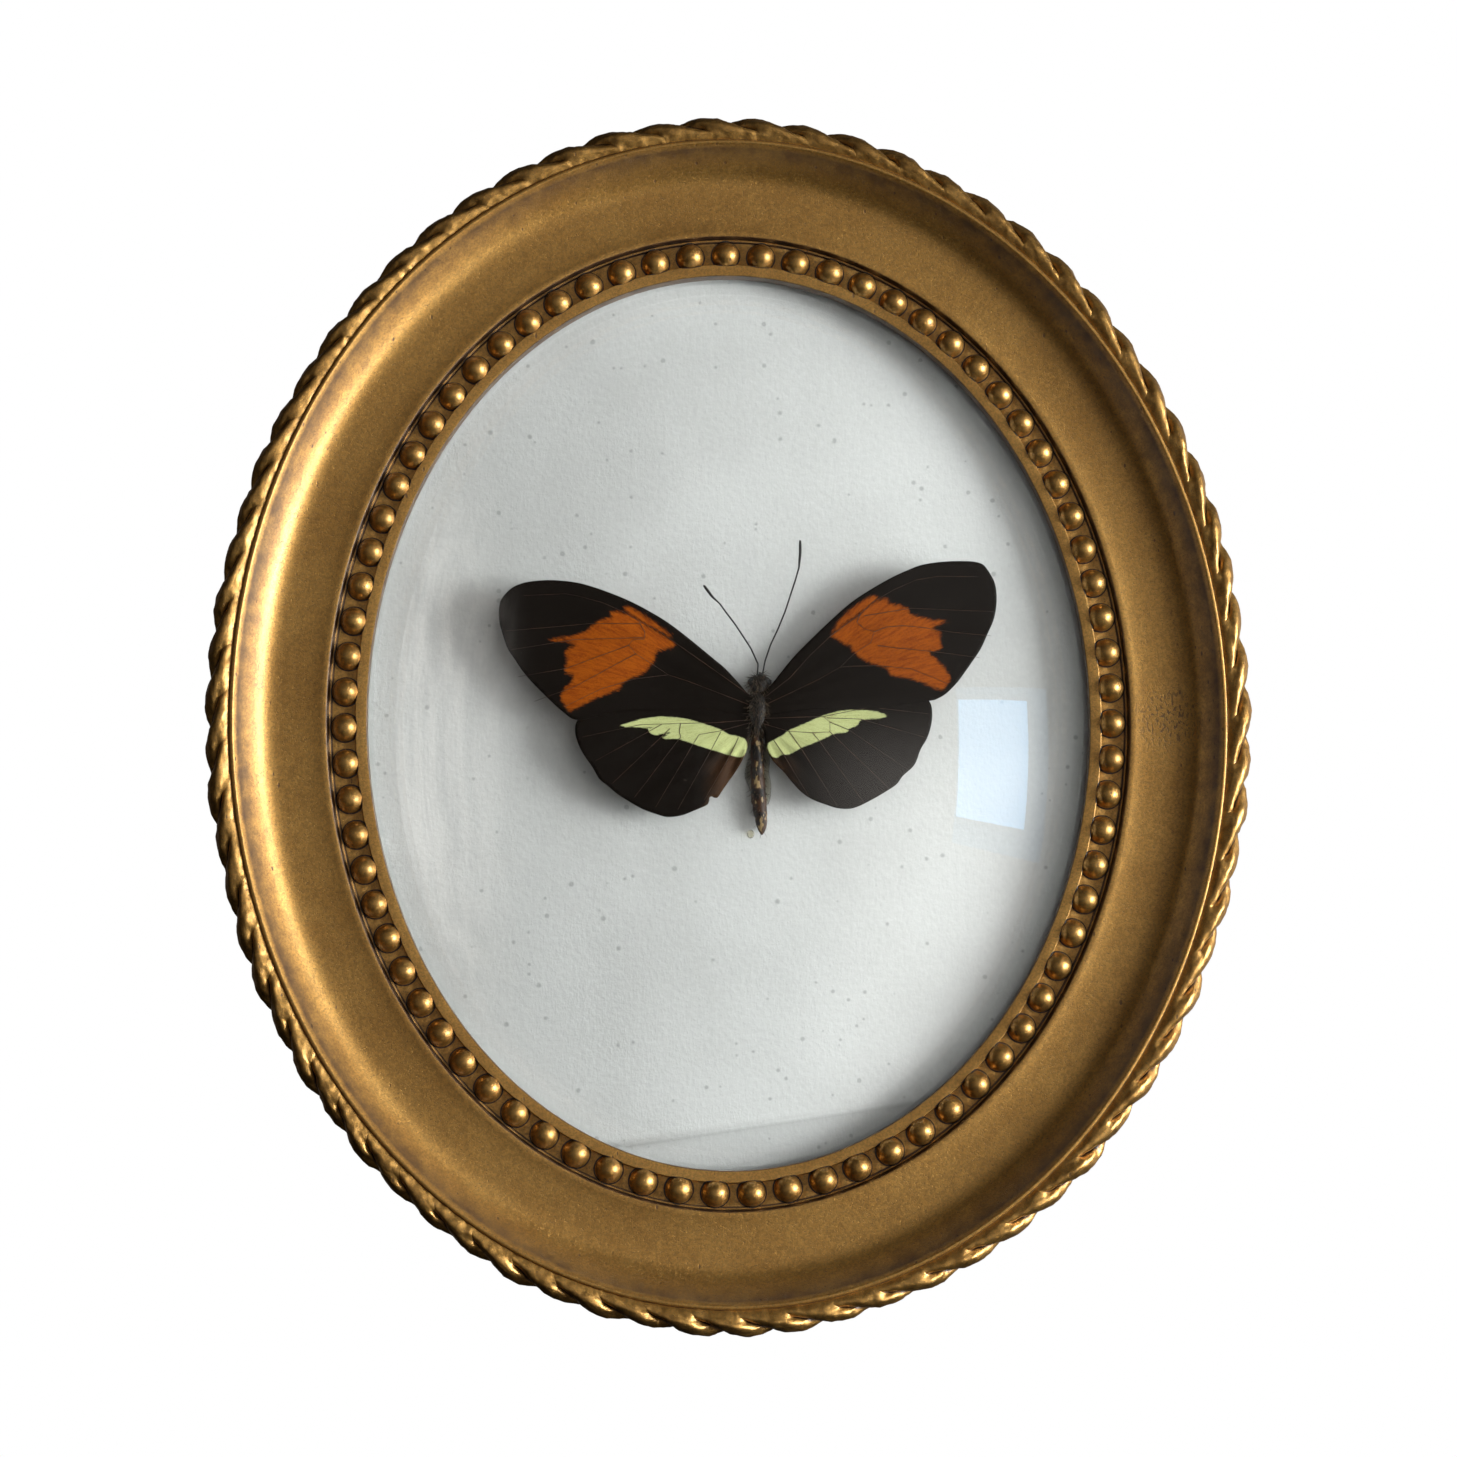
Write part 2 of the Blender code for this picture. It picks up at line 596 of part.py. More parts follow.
def make_nails():
    """Makes the two nails that hold the hanger plate."""
    head_depth = PLATE_INSET + 0.5 * PLATE_THICKNESS - GAP
    for name, side in (("hanger_nail_left", -1), ("hanger_nail_right", 1)):
        make_turned(name, side * NAIL_X, [
            (NAIL_HEAD_RADIUS - GAP, 0.0),
            (NAIL_HEAD_RADIUS, head_depth),
            (NAIL_RADIUS, head_depth),
            (NAIL_RADIUS, NAIL_LENGTH - NAIL_RADIUS),
            (0.2 * NAIL_RADIUS, NAIL_LENGTH),
        ], STEEL)


def main():
    """Builds the frame, what is in it and its hanger."""
    clear_scene()
    make_moulding()
    make_glass()
    make_sheet("card", CARD_FRONT, CARD_THICKNESS, PAPER)
    make_sheet("backing_board", BOARD_FRONT, BOARD_FRONT, BOARD)
    make_butterfly()
    make_glue()
    make_hanger()
    make_nails()


main()
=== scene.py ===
"""Looks of a butterfly under domed glass in an oval gilt wall frame.

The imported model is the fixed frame: metres, +Z up, the front faces -Y and the wall is the
plane y = 0. An "offset" is a distance outwards from the sight edge, the inner edge of the
moulding that the glass is seen through, and a "height" is a distance from the wall towards
the viewer.
"""

from __future__ import annotations

import logging
import math
from dataclasses import dataclass
from enum import Enum
from typing import Any

import bmesh
import bpy
import numpy as np
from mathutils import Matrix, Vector
from mathutils.geometry import delaunay_2d_cdt


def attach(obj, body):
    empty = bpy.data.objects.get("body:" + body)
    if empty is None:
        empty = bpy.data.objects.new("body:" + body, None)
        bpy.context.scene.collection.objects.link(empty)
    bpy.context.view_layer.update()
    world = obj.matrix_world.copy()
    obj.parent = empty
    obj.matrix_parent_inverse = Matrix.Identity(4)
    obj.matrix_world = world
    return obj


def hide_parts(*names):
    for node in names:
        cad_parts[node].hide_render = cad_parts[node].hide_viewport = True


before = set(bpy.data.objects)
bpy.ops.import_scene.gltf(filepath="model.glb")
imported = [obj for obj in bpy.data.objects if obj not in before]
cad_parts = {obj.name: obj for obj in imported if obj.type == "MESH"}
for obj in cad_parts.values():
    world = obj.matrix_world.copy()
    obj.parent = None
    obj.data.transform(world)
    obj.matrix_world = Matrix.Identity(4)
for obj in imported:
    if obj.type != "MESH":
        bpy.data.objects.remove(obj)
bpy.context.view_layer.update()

LOG = logging.getLogger("butterfly_frame")
BODY = "root"
MM = 0.001

Point = tuple[float, float]
Outline = tuple[Point, ...]
Piece = bpy.types.Object
Material = bpy.types.Material
NodeTree = bpy.types.NodeTree
Node = bpy.types.Node


class Slot(Enum):
    """The names of the material slots."""

    GILT = "aged_gilt"
    GLASS = "clear_glass"
    CARD = "pale_card"
    BOARD = "backing_board"
    BUTTERFLY = "butterfly"
    GLUE = "clear_glue"


@dataclass(frozen=True)
class Oval:
    """An oval round the origin, by its half axes."""

    half_width: float
    half_height: float

    def grown(self, offset: float) -> Oval:
        """Returns the oval that lies offset outside this one."""
        return Oval(self.half_width + offset, self.half_height + offset)

    def shrunk(self, share: float) -> Oval:
        """Returns the oval of the same form with this share of the size."""
        return Oval(self.half_width * share, self.half_height * share)

    def points(self, angles: np.ndarray, height: float) -> np.ndarray:
        """Returns the points at these angles, at a height over the wall."""
        return np.stack([
            self.half_width * np.cos(angles),
            np.full_like(angles, -height),
            self.half_height * np.sin(angles),
        ], axis=1)

    def run(self, samples: int = 7200) -> tuple[np.ndarray, np.ndarray]:
        """Measures the oval along its line.

        Args:
            samples: Into how many parts it is measured.

        Returns:
            The angles of the samples, and the length of the oval up to each of them.
        """
        angles = np.linspace(0.0, math.tau, samples + 1)
        points = self.points(angles, 0.0)
        steps = np.linalg.norm(np.diff(points, axis=0), axis=1)
        return angles, np.concatenate([[0.0], np.cumsum(steps)])

    def length(self) -> float:
        """Returns the length of the oval."""
        return float(self.run()[1][-1])

    def even_angles(self, count: int, phase: float = 0.0) -> np.ndarray:
        """Parts the oval into equal lengths.

        Args:
            count: How many parts there are.
            phase: How many parts the first one is moved on.

        Returns:
            The angle at which each part starts.
        """
        angles, run = self.run()
        shares = ((np.arange(count) + phase) / count) % 1.0
        return np.interp(run[-1] * shares, run, angles)


SIGHT = Oval(50.8 * MM, 63.25 * MM)


class NodeBuilder:
    """Adds nodes to one node tree and joins their sockets."""

    def __init__(self, tree: NodeTree) -> None:
        """Takes the tree to add to."""
        self.tree = tree

    def feed(self, node: Node, inputs: dict[Any, Any]) -> None:
        """Gives a node's inputs their values or links.

        Args:
            node: The node.
            inputs: Values or sockets, by the input's name or number.
        """
        for key, value in inputs.items():
            if isinstance(value, bpy.types.NodeSocket):
                self.tree.links.new(value, node.inputs[key])
            else:
                node.inputs[key].default_value = value

    def add(self, kind: str, inputs: dict[Any, Any] | None = None, **settings: Any) -> Node:
        """Adds a node.

        Args:
            kind: The node's type name.
            inputs: Values or sockets, by the input's name or number.
            **settings: The node's own properties.

        Returns:
            The new node.
        """
        node = self.tree.nodes.new(kind)
        for name, value in settings.items():
            setattr(node, name, value)
        self.feed(node, inputs or {})
        return node

    def make(self, kind: str, inputs: dict[Any, Any] | None = None, **settings: Any) -> Any:
        """Adds a node and returns its first output."""
        return self.add(kind, inputs, **settings).outputs[0]

    def math(self, operation: str, *terms: Any) -> Any:
        """Returns the value of a Math node."""
        return self.make("ShaderNodeMath", dict(enumerate(terms)), operation=operation)

    def plus(self, first: Any, second: Any) -> Any:
        """Returns the sum of two values."""
        return self.math("ADD", first, second)

    def minus(self, first: Any, second: Any) -> Any:
        """Returns the first value less the second."""
        return self.math("SUBTRACT", first, second)

    def times(self, first: Any, second: Any) -> Any:
        """Returns the product of two values."""
        return self.math("MULTIPLY", first, second)

    def most(self, first: Any, second: Any) -> Any:
        """Returns the larger of two values."""
        return self.math("MAXIMUM", first, second)

    def vector(self, operation: str, first: Any, second: Any) -> Any:
        """Returns the vector of a Vector Math node."""
        return self.make("ShaderNodeVectorMath", {0: first, 1: second}, operation=operation)

    def measure(self, operation: str, first: Any, second: Any) -> Any:
        """Returns the number that a Vector Math node works out from two vectors."""
        node = self.add("ShaderNodeVectorMath", {0: first, 1: second}, operation=operation)
        return node.outputs["Value"]

    def scaled(self, vector: Any, factor: Any) -> Any:
        """Returns a vector times a number."""
        return self.make("ShaderNodeVectorMath", {0: vector, "Scale": factor}, operation="SCALE")

    def noise(self, vector: Any, scale: Any, detail: float = 2.0, roughness: float = 0.5) -> Any:
        """Returns a noise value from 0 to 1."""
        return self.make("ShaderNodeTexNoise", {
            "Vector": vector, "Scale": scale, "Detail": detail, "Roughness": roughness})

    def ramp(self, value: Any, low: float, high: float, start: float = 0.0, end: float = 1.0) -> Any:
        """Returns value carried smoothly from low..high to start..end."""
        return self.make("ShaderNodeMapRange", {0: value, 1: low, 2: high, 3: start, 4: end},
                         interpolation_type="SMOOTHSTEP")

    def blend(self, factor: Any, first: Any, second: Any) -> Any:
        """Returns a colour mixed from two by a factor."""
        return self.add("ShaderNodeMix", {0: factor, 6: first, 7: second}, data_type="RGBA").outputs[2]

    def group(self, tree: NodeTree, inputs: dict[str, Any]) -> Any:
        """Places a node group and returns its outputs."""
        return self.add("ShaderNodeGroup", inputs, node_tree=tree).outputs

    def attribute(self, name: str, output: str = "Fac") -> Any:
        """Returns an attribute of the piece's own mesh, for a material."""
        return self.add("ShaderNodeAttribute", attribute_name=name).outputs[output]

    def stored(self, name: str, kind: str = "FLOAT") -> Any:
        """Returns an attribute of the piece's own mesh, for Geometry Nodes."""
        return self.make("GeometryNodeInputNamedAttribute", {"Name": name}, data_type=kind)


def new_group(kind: str, name: str, inputs: dict[str, str],
              outputs: dict[str, str]) -> tuple[NodeBuilder, Any, Node]:
    """Starts a node group with named sockets.

    Args:
        kind: The type of node tree.
        name: The group's name.
        inputs: For each input, its socket type.
        outputs: For each output, its socket type.

    Returns:
        A builder for the tree, the group's inputs as sockets, and the node for its outputs.
    """
    tree = bpy.data.node_groups.new(name, kind)
    for direction, sockets in (("INPUT", inputs), ("OUTPUT", outputs)):
        for label, socket_type in sockets.items():
            tree.interface.new_socket(name=label, in_out=direction, socket_type=socket_type)
    build = NodeBuilder(tree)
    return build, build.add("NodeGroupInput").outputs, build.add("NodeGroupOutput")


FLOAT = "NodeSocketFloat"
INT = "NodeSocketInt"
COLOUR = "NodeSocketColor"
VECTOR = "NodeSocketVector"
GEOMETRY = "NodeSocketGeometry"
MATERIAL = "NodeSocketMaterial"


class ShaderGroups:
    """The effects that several finishes share, each made once."""

    def __init__(self) -> None:
        """Makes every group."""
        self.specks = self.make_specks()
        self.ageing = self.make_ageing()
        self.fibres = self.make_fibres()
        self.scales = self.make_scales()

    def make_specks(self) -> NodeTree:
        """Makes small scattered dots, whose number follows Amount.

        Returns:
            The group.
        """
        build, given, result = new_group("ShaderNodeTree", "specks", {
            "Vector": VECTOR, "Scale": FLOAT, "Amount": FLOAT}, {"Mask": FLOAT})
        cells = build.add("ShaderNodeTexVoronoi", {"Vector": given["Vector"], "Scale": given["Scale"]})
        parts = build.add("ShaderNodeSeparateColor", {0: cells.outputs["Color"]})
        size = build.times(parts.outputs[0], 0.42)
        dot = build.minus(size, cells.outputs["Distance"])
        shape = build.ramp(dot, 0.0, 0.16)
        chosen = build.math("LESS_THAN", parts.outputs[1], given["Amount"])
        build.feed(result, {"Mask": build.times(shape, chosen)})
        return build.tree

    def make_ageing(self) -> NodeTree:
        """Makes old gilding: mottled gold, brown wash in the hollows, painted shade that turns near black
        where the wash input is strongest, specks and fine grain.

        Returns:
            The group.
        """
        build, given, result = new_group("ShaderNodeTree", "old_gilding", {
            "Coordinates": VECTOR, "Sweep": VECTOR,
            "Wash And Shade": FLOAT, "Rubbed": FLOAT, "Pits": FLOAT, "Dashes": FLOAT,
            "Gold": COLOUR, "Deep Gold": COLOUR, "Brown": COLOUR,
        }, {"Colour": COLOUR, "Roughness": FLOAT, "Metallic": FLOAT, "Height": FLOAT})
        place = given["Coordinates"]
        clouds = build.noise(place, 75.0, 4.0, 0.6)
        grain = build.noise(place, 1900.0, 3.0, 0.65)
        mottle = build.noise(place, 420.0, 3.0, 0.6)
        lines = build.noise(given["Sweep"], 1.0, 2.0, 0.6)
        tone = build.plus(build.times(clouds, 0.55), build.times(mottle, 0.3))
        tone = build.plus(tone, build.times(lines, 0.15))
        gold = build.blend(build.ramp(tone, 0.34, 0.66), given["Gold"], given["Deep Gold"])
        worn = build.minus(given["Wash And Shade"], build.times(given["Rubbed"], 0.6))
        ragged = build.plus(worn, build.times(build.minus(mottle, 0.5), 0.5))
        wash_and_shade_present = build.math("GREATER_THAN", given["Wash And Shade"], 0.01)
        wash_and_shade = build.times(build.ramp(ragged, 0.15, 0.85), wash_and_shade_present)
        shade = build.ramp(build.noise(place, 2600.0, 2.0, 0.7), 0.34, 0.66, 0.80, 1.14)
        colour = build.blend(wash_and_shade, build.scaled(gold, shade), given["Brown"])
        # Painted shade: where the wash input is strongest the colour turns near black, for rope gaps and step
        # walls that lie in shadow.
        colour = build.blend(build.ramp(ragged, 0.72, 1.0), colour, (0.010, 0.004, 0.002, 1.0))
        upright = build.vector("MULTIPLY", place, (1.0, 1.0, 0.5))
        few = build.group(self.specks, {"Vector": upright, "Scale": 1700.0, "Amount": given["Pits"]})
        amount = build.ramp(clouds, 0.38, 0.65, 0.35, 0.9)
        level = build.vector("MULTIPLY", place, (0.6, 1.0, 1.0))
        fine = build.group(self.specks, {"Vector": level, "Scale": 5200.0, "Amount": amount})
        flecks = build.ramp(build.noise(level, 4200.0, 3.0, 0.75), 0.55, 0.70, 0.0, 0.7)
        dashes = build.ramp(build.noise(upright, 3000.0, 2.0, 0.5), 0.55, 0.60)
        dashes = build.times(dashes, given["Dashes"])
        dots = build.most(few[0], build.times(fine[0], 0.45))
        dots = build.most(dots, build.most(flecks, dashes))
        colour = build.blend(build.times(dots, 0.8), colour, given["Brown"])
        rough = build.plus(build.ramp(grain, 0.3, 0.7, 0.42, 0.52), build.times(wash_and_shade, 0.12))
        rough = build.minus(rough, build.times(given["Rubbed"], 0.08))
        height = build.plus(build.times(grain, 0.5), build.times(mottle, 0.6))
        build.feed(result, {
            "Colour": colour, "Roughness": build.plus(rough, build.times(dots, 0.2)),
            "Metallic": build.minus(0.97, build.times(build.most(wash_and_shade, dots), 0.5)),
            "Height": build.minus(height, build.times(dots, 0.9))})
        return build.tree

    def make_fibres(self) -> NodeTree:
        """Makes the tooth of a fibrous sheet, such as rough paper or board.

        Returns:
            The group.
        """
        build, given, result = new_group("ShaderNodeTree", "paper_tooth", {
            "Coordinates": VECTOR, "Grain Size": FLOAT}, {"Height": FLOAT, "Tone": FLOAT})
        place = given["Coordinates"]
        bumps = build.noise(place, given["Grain Size"], 4.0, 0.6)
        stretched = build.vector("MULTIPLY", place, (1.0, 1.0, 0.28))
        threads = build.noise(stretched, build.times(given["Grain Size"], 2.6))
        height = build.plus(build.times(bumps, 0.75), build.times(threads, 0.25))
        build.feed(result, {"Height": height, "Tone": build.noise(place, 45.0, 3.0)})
        return build.tree

    def make_scales(self) -> NodeTree:
        """Makes the fine dust of wing scales, drawn out in rays from the wing's root.

        Returns:
            The group.
        """
        build, given, result = new_group("ShaderNodeTree", "wing_scales", {
            "Coordinates": VECTOR, "Rays": VECTOR}, {"Grain": FLOAT, "Streak": FLOAT, "Ragged": FLOAT})
        place, rays = given["Coordinates"], given["Rays"]
        ragged = build.plus(build.times(build.noise(place, 1500.0, 3.0, 0.6), 0.2),
                            build.times(build.noise(rays, 2.6, 4.0, 0.7), 0.8))
        build.feed(result, {
            "Grain": build.noise(place, 7000.0, 2.0, 0.7), "Streak": build.noise(rays, 1.0, 3.0, 0.6),
            "Ragged": ragged})
        return build.tree


GROUPS = ShaderGroups()


def darker(colour: tuple, share: float) -> tuple:
    """Returns a colour with this share of its light."""
    return tuple(share * c for c in colour[:3]) + (1.0,)


@dataclass(frozen=True)
class Finish:
    """The start of a finish: a named material with one Principled shader."""

    name: str

    def start(self) -> tuple[Material, NodeBuilder, Node, Any]:
        """Makes the bare material.

        Returns:
            The material, a builder for its nodes, its shader and its Object coordinates.
        """
        material = bpy.data.materials.new(self.name)
        material.use_nodes = True
        build = NodeBuilder(material.node_tree)
        shader = material.node_tree.nodes["Principled BSDF"]
        place = build.add("ShaderNodeTexCoord").outputs["Object"]
        return material, build, shader, place

    @staticmethod
    def bump(build: NodeBuilder, shader: Node, height: Any, distance: float, strength: float) -> None:
        """Gives the shader a bump of this distance in metres from a height."""
        bump = build.make("ShaderNodeBump", {"Strength": strength, "Distance": distance, "Height": height})
        build.feed(shader, {"Normal": bump})

    @staticmethod
    def clear_shadow(build: NodeBuilder, shader: Node, tint: tuple) -> None:
        """Lets light rays pass a clear piece, so that what lies under it is lit.

        Args:
            build: The builder of the material's nodes.
            shader: Its shader.
            tint: The colour that light takes on as it passes.
        """
        shadow = build.add("ShaderNodeLightPath").outputs["Is Shadow Ray"]
        through = build.make("ShaderNodeBsdfTransparent", {"Color": tint})
        mixed = build.make("ShaderNodeMixShader", {0: shadow, 1: shader.outputs[0], 2: through})
        build.feed(build.tree.nodes["Material Output"], {"Surface": mixed})


@dataclass(frozen=True)
class GiltFinish(Finish):
    """Old gold-bronze gilding with a brown wash and painted shade in its hollows and on shadowed walls, over
    raw composition at the back.
    """

    gold: tuple = (0.66, 0.36, 0.085, 1.0)
    deep_gold: tuple = (0.53, 0.27, 0.055, 1.0)
    brown: tuple = (0.070, 0.028, 0.008, 1.0)
    raw: tuple = (0.16, 0.085, 0.04, 1.0)
    pits: float = 0.07
    bump_distance: float = 0.06 * MM
    worn_patch: tuple[float, float, float] = (61.5 * MM, 0.0, -0.7 * MM)
    worn_patch_reach: float = 7.0 * MM
    raw_roughness: float = 0.8
    lacquer: float = 0.9
    lacquer_roughness: float = 0.38

    def material(self) -> Material:
        """Makes the material.

        Returns:
            The gilding.
        """
        material, build, shader, place = self.start()
        flat = build.vector("MULTIPLY", place, (1.0, 0.0, 1.0))
        reach = build.measure("DISTANCE", flat, self.worn_patch)
        patch = build.ramp(reach, self.worn_patch_reach, 0.2 * self.worn_patch_reach)
        outline = build.ramp(build.attribute("bead_gap"), 0.26 * MM, 0.08 * MM)
        aged = build.group(GROUPS.ageing, {
            "Coordinates": place, "Sweep": build.attribute("sweep", "Vector"),
            "Wash And Shade": build.most(build.attribute("wash_and_shade"), outline), "Rubbed": build.attribute("rubbed"),
            "Pits": build.plus(self.pits, build.times(patch, 0.3)), "Dashes": patch,
            "Gold": self.gold, "Deep Gold": self.deep_gold, "Brown": self.brown})
        gilt = build.attribute("gilt")
        raw = build.blend(build.noise(place, 260.0, 4.0), self.raw, darker(self.raw, 0.55))
        build.feed(shader, {
            "Base Color": build.blend(gilt, raw, aged["Colour"]),
            "Roughness": build.make("ShaderNodeMix", {0: gilt, 2: self.raw_roughness, 3: aged["Roughness"]}),
            "Metallic": build.times(gilt, aged["Metallic"]),
            "Coat Weight": self.lacquer, "Coat Roughness": self.lacquer_roughness})
        self.bump(build, shader, aged["Height"], self.bump_distance, 0.55)
        return material


@dataclass(frozen=True)
class GlassFinish(Finish):
    """Clear glass, or clear glue."""

    index: float = 1.5
    roughness: float = 0.0
    tint: tuple = (0.985, 0.995, 0.99, 1.0)
    ripple: float = 0.0

    def material(self) -> Material:
        """Makes the material.

        Returns:
            The glass or glue.
        """
        material, build, shader, place = self.start()
        build.feed(shader, {
            "Base Color": self.tint, "Roughness": self.roughness, "IOR": self.index,
            "Transmission Weight": 1.0})
        if self.ripple:
            self.bump(build, shader, build.noise(place, 60.0, 2.0), self.ripple, 1.0)
        self.clear_shadow(build, shader, self.tint)
        return material


@dataclass(frozen=True)
class SheetFinish(Finish):
    """Paper card or fibre board."""

    light: tuple = (0.8, 0.8, 0.8, 1.0)
    dark: tuple = (0.7, 0.7, 0.7, 1.0)
    grain: float = 900.0
    bump_distance: float = 0.12 * MM
    strength: float = 0.5
    roughness: float = 0.9

    def material(self) -> Material:
        """Makes the material.

        Returns:
            The card or board.
        """
        material, build, shader, place = self.start()
        tooth = build.group(GROUPS.fibres, {"Coordinates": place, "Grain Size": self.grain})
        specks = build.group(GROUPS.specks, {"Vector": place, "Scale": 900.0, "Amount": 0.05})
        tone = build.plus(build.times(tooth["Tone"], 0.6), build.times(tooth["Height"], 0.4))
        colour = build.blend(build.ramp(tone, 0.35, 0.65), self.light, self.dark)
        shade = darker(self.dark, 0.45)
        colour = build.blend(build.times(specks[0], 0.5), colour, shade)
        # Painted shade: the card is darkened where its mesh carries a shade value, below the ridge at its
        # lower end.
        colour = build.blend(build.times(build.attribute("shade"), 0.5), colour, shade)
        build.feed(shader, {"Base Color": colour, "Roughness": self.roughness})
        self.bump(build, shader, tooth["Height"], self.bump_distance, self.strength)
        return material


@dataclass(frozen=True)
class MetalFinish(Finish):
    """Thin brassed steel."""

    light: tuple = (0.74, 0.56, 0.28, 1.0)
    dark: tuple = (0.42, 0.28, 0.12, 1.0)
    rust: tuple = (0.07, 0.035, 0.02, 1.0)

    def material(self) -> Material:
        """Makes the material.

        Returns:
            The metal.
        """
        material, build, shader, place = self.start()
        cloudy = build.noise(place, 420.0, 4.0, 0.6)
        brushed = build.noise(build.vector("MULTIPLY", place, (0.15, 1.0, 1.0)), 5200.0, 2.0)
        specks = build.group(GROUPS.specks, {"Vector": place, "Scale": 1500.0, "Amount": 0.2})
        colour = build.blend(build.ramp(cloudy, 0.35, 0.7), self.light, self.dark)
        colour = build.blend(build.times(specks[0], 0.7), colour, self.rust)
        build.feed(shader, {
            "Base Color": colour, "Roughness": build.ramp(brushed, 0.3, 0.7, 0.28, 0.46), "Metallic": 1.0})
        self.bump(build, shader, brushed, 0.02 * MM, 0.5)
        return material


@dataclass(frozen=True)
class WingFinish(Finish):
    """Wing scales: brown black, with an orange patch and a yellow bar where the mesh says."""

    black: tuple = (0.0052, 0.0028, 0.0014, 1.0)
    brown: tuple = (0.050, 0.022, 0.009, 1.0)
    orange: tuple = (0.38, 0.082, 0.002, 1.0)
    deep_orange: tuple = (0.21, 0.036, 0.001, 1.0)
    yellow: tuple = (0.58, 0.61, 0.27, 1.0)
    deep_yellow: tuple = (0.40, 0.41, 0.15, 1.0)
    vein: tuple = (0.13, 0.035, 0.008, 1.0)
    ragged: float = 0.95 * MM

    def material(self) -> Material:
        """Makes the material.

        Returns:
            The wings' scales.
        """
        material, build, shader, place = self.start()
        scales = build.group(GROUPS.scales, {"Coordinates": place, "Rays": build.attribute("rays", "Vector")})
        grain, streak = scales["Grain"], scales["Streak"]
        lustre = build.plus(grain, streak)
        wander = build.times(build.minus(scales["Ragged"], 0.5), self.ragged * 2.0)
        thin = build.plus(build.attribute("thin"), build.times(build.minus(streak, 0.5), 0.5))
        ground = build.blend(build.ramp(thin, 0.25, 0.95), self.black, self.brown)
        orange = build.blend(build.ramp(lustre, 0.75, 1.3), self.orange, self.deep_orange)
        yellow = build.blend(build.ramp(lustre, 0.85, 1.4), self.yellow, self.deep_yellow)
        on_orange = build.ramp(build.plus(build.attribute("orange"), wander), -0.30 * MM, 0.30 * MM)
        small = build.times(wander, 0.4)
        on_yellow = build.ramp(build.plus(build.attribute("yellow"), small), -0.08 * MM, 0.08 * MM)
        colour = build.blend(on_orange, ground, orange)
        colour = build.blend(on_yellow, colour, yellow)
        vein = build.ramp(build.attribute("vein"), 0.14 * MM, 0.03 * MM)
        on_pattern = build.times(vein, build.most(on_orange, on_yellow))
        colour = build.blend(build.times(on_pattern, 0.4), colour, self.vein)
        build.feed(shader, {
            "Base Color": colour, "Roughness": build.ramp(grain, 0.25, 0.75, 0.5, 0.75),
            "Specular IOR Level": 0.10, "Sheen Weight": 0.02, "Sheen Roughness": 0.4})
        height = build.plus(build.times(grain, 0.4), build.times(streak, 0.6))
        self.bump(build, shader, height, 0.05 * MM, 0.5)
        return material


@dataclass(frozen=True)
class InsectFinish(Finish):
    """Dark horny skin, with gold-brown glossy wear where the mesh says."""

    black: tuple = (0.013, 0.010, 0.009, 1.0)
    brown: tuple = (0.060, 0.024, 0.010, 1.0)
    golden: tuple = (0.33, 0.22, 0.10, 1.0)
    roughness: float = 0.36

    def material(self) -> Material:
        """Makes the material.

        Returns:
            The skin.
        """
        material, build, shader, place = self.start()
        rough = build.noise(place, 2300.0, 4.0, 0.65)
        patches = build.noise(place, 620.0, 3.0, 0.6)
        worn = build.attribute("worn")
        colour = build.blend(build.times(worn, build.ramp(patches, 0.4, 0.55)), self.black, self.brown)
        flakes = build.noise(build.vector("MULTIPLY", place, (1.0, 1.0, 0.55)), 1500.0, 2.0, 0.5)
        colour = build.blend(build.times(worn, build.ramp(flakes, 0.59, 0.64)), colour, self.golden)
        build.feed(shader, {
            "Base Color": colour,
            "Roughness": build.ramp(rough, 0.3, 0.7, self.roughness - 0.1, self.roughness + 0.15)})
        self.bump(build, shader, rough, 0.12 * MM, 0.6)
        return material


@dataclass(frozen=True)
class PlainFinish(Finish):
    """One colour, slightly mottled, for hairs, veins and specks."""

    colour: tuple = (0.5, 0.5, 0.5, 1.0)
    other: tuple = (0.4, 0.4, 0.4, 1.0)
    roughness: float = 0.6
    scale: float = 1500.0

    def material(self) -> Material:
        """Makes the material.

        Returns:
            The plain finish.
        """
        material, build, shader, place = self.start()
        mottle = build.ramp(build.noise(place, self.scale, 2.0), 0.4, 0.6)
        build.feed(shader, {
            "Base Color": build.blend(mottle, self.colour, self.other), "Roughness": self.roughness})
        return material


GILT = GiltFinish("old_gilt")
GLASS = GlassFinish("domed_glass")
GLUE = GlassFinish("clear_glue", index=1.46, roughness=0.05, tint=(0.88, 0.86, 0.78, 1.0), ripple=0.5 * MM)
CARD = SheetFinish(
    "mount_card", light=(0.74, 0.73, 0.71, 1.0), dark=(0.65, 0.64, 0.62, 1.0), grain=1300.0,
    bump_distance=0.15 * MM, strength=0.7)
BOARD = SheetFinish("back_board", light=(0.36, 0.235, 0.135, 1.0), dark=(0.27, 0.165, 0.09, 1.0), grain=500.0)
BRASS = MetalFinish("brassed_steel")
WING = WingFinish("wing_scales")
SKIN = InsectFinish("dark_skin")
HAIR = PlainFinish("body_hair", (0.030, 0.021, 0.015, 1.0), (0.13, 0.09, 0.055, 1.0), 0.38, 1400.0)
VEIN = PlainFinish("wing_vein", (0.030, 0.014, 0.008, 1.0), (0.060, 0.026, 0.013, 1.0), 0.4, 400.0)
EYE = PlainFinish("eyes", (0.055, 0.058, 0.06, 1.0), (0.02, 0.02, 0.02, 1.0), 0.28, 2600.0)
DUST = PlainFinish("dust", (0.85, 0.86, 0.88, 1.0), (0.7, 0.7, 0.72, 1.0), 0.7)
FLOOR = PlainFinish("pale_floor", (0.86, 0.86, 0.86, 1.0), (0.84, 0.84, 0.84, 1.0), 0.8, 6.0)
GILT_MATERIAL = GILT.material()
SKIN_MATERIAL = SKIN.material()


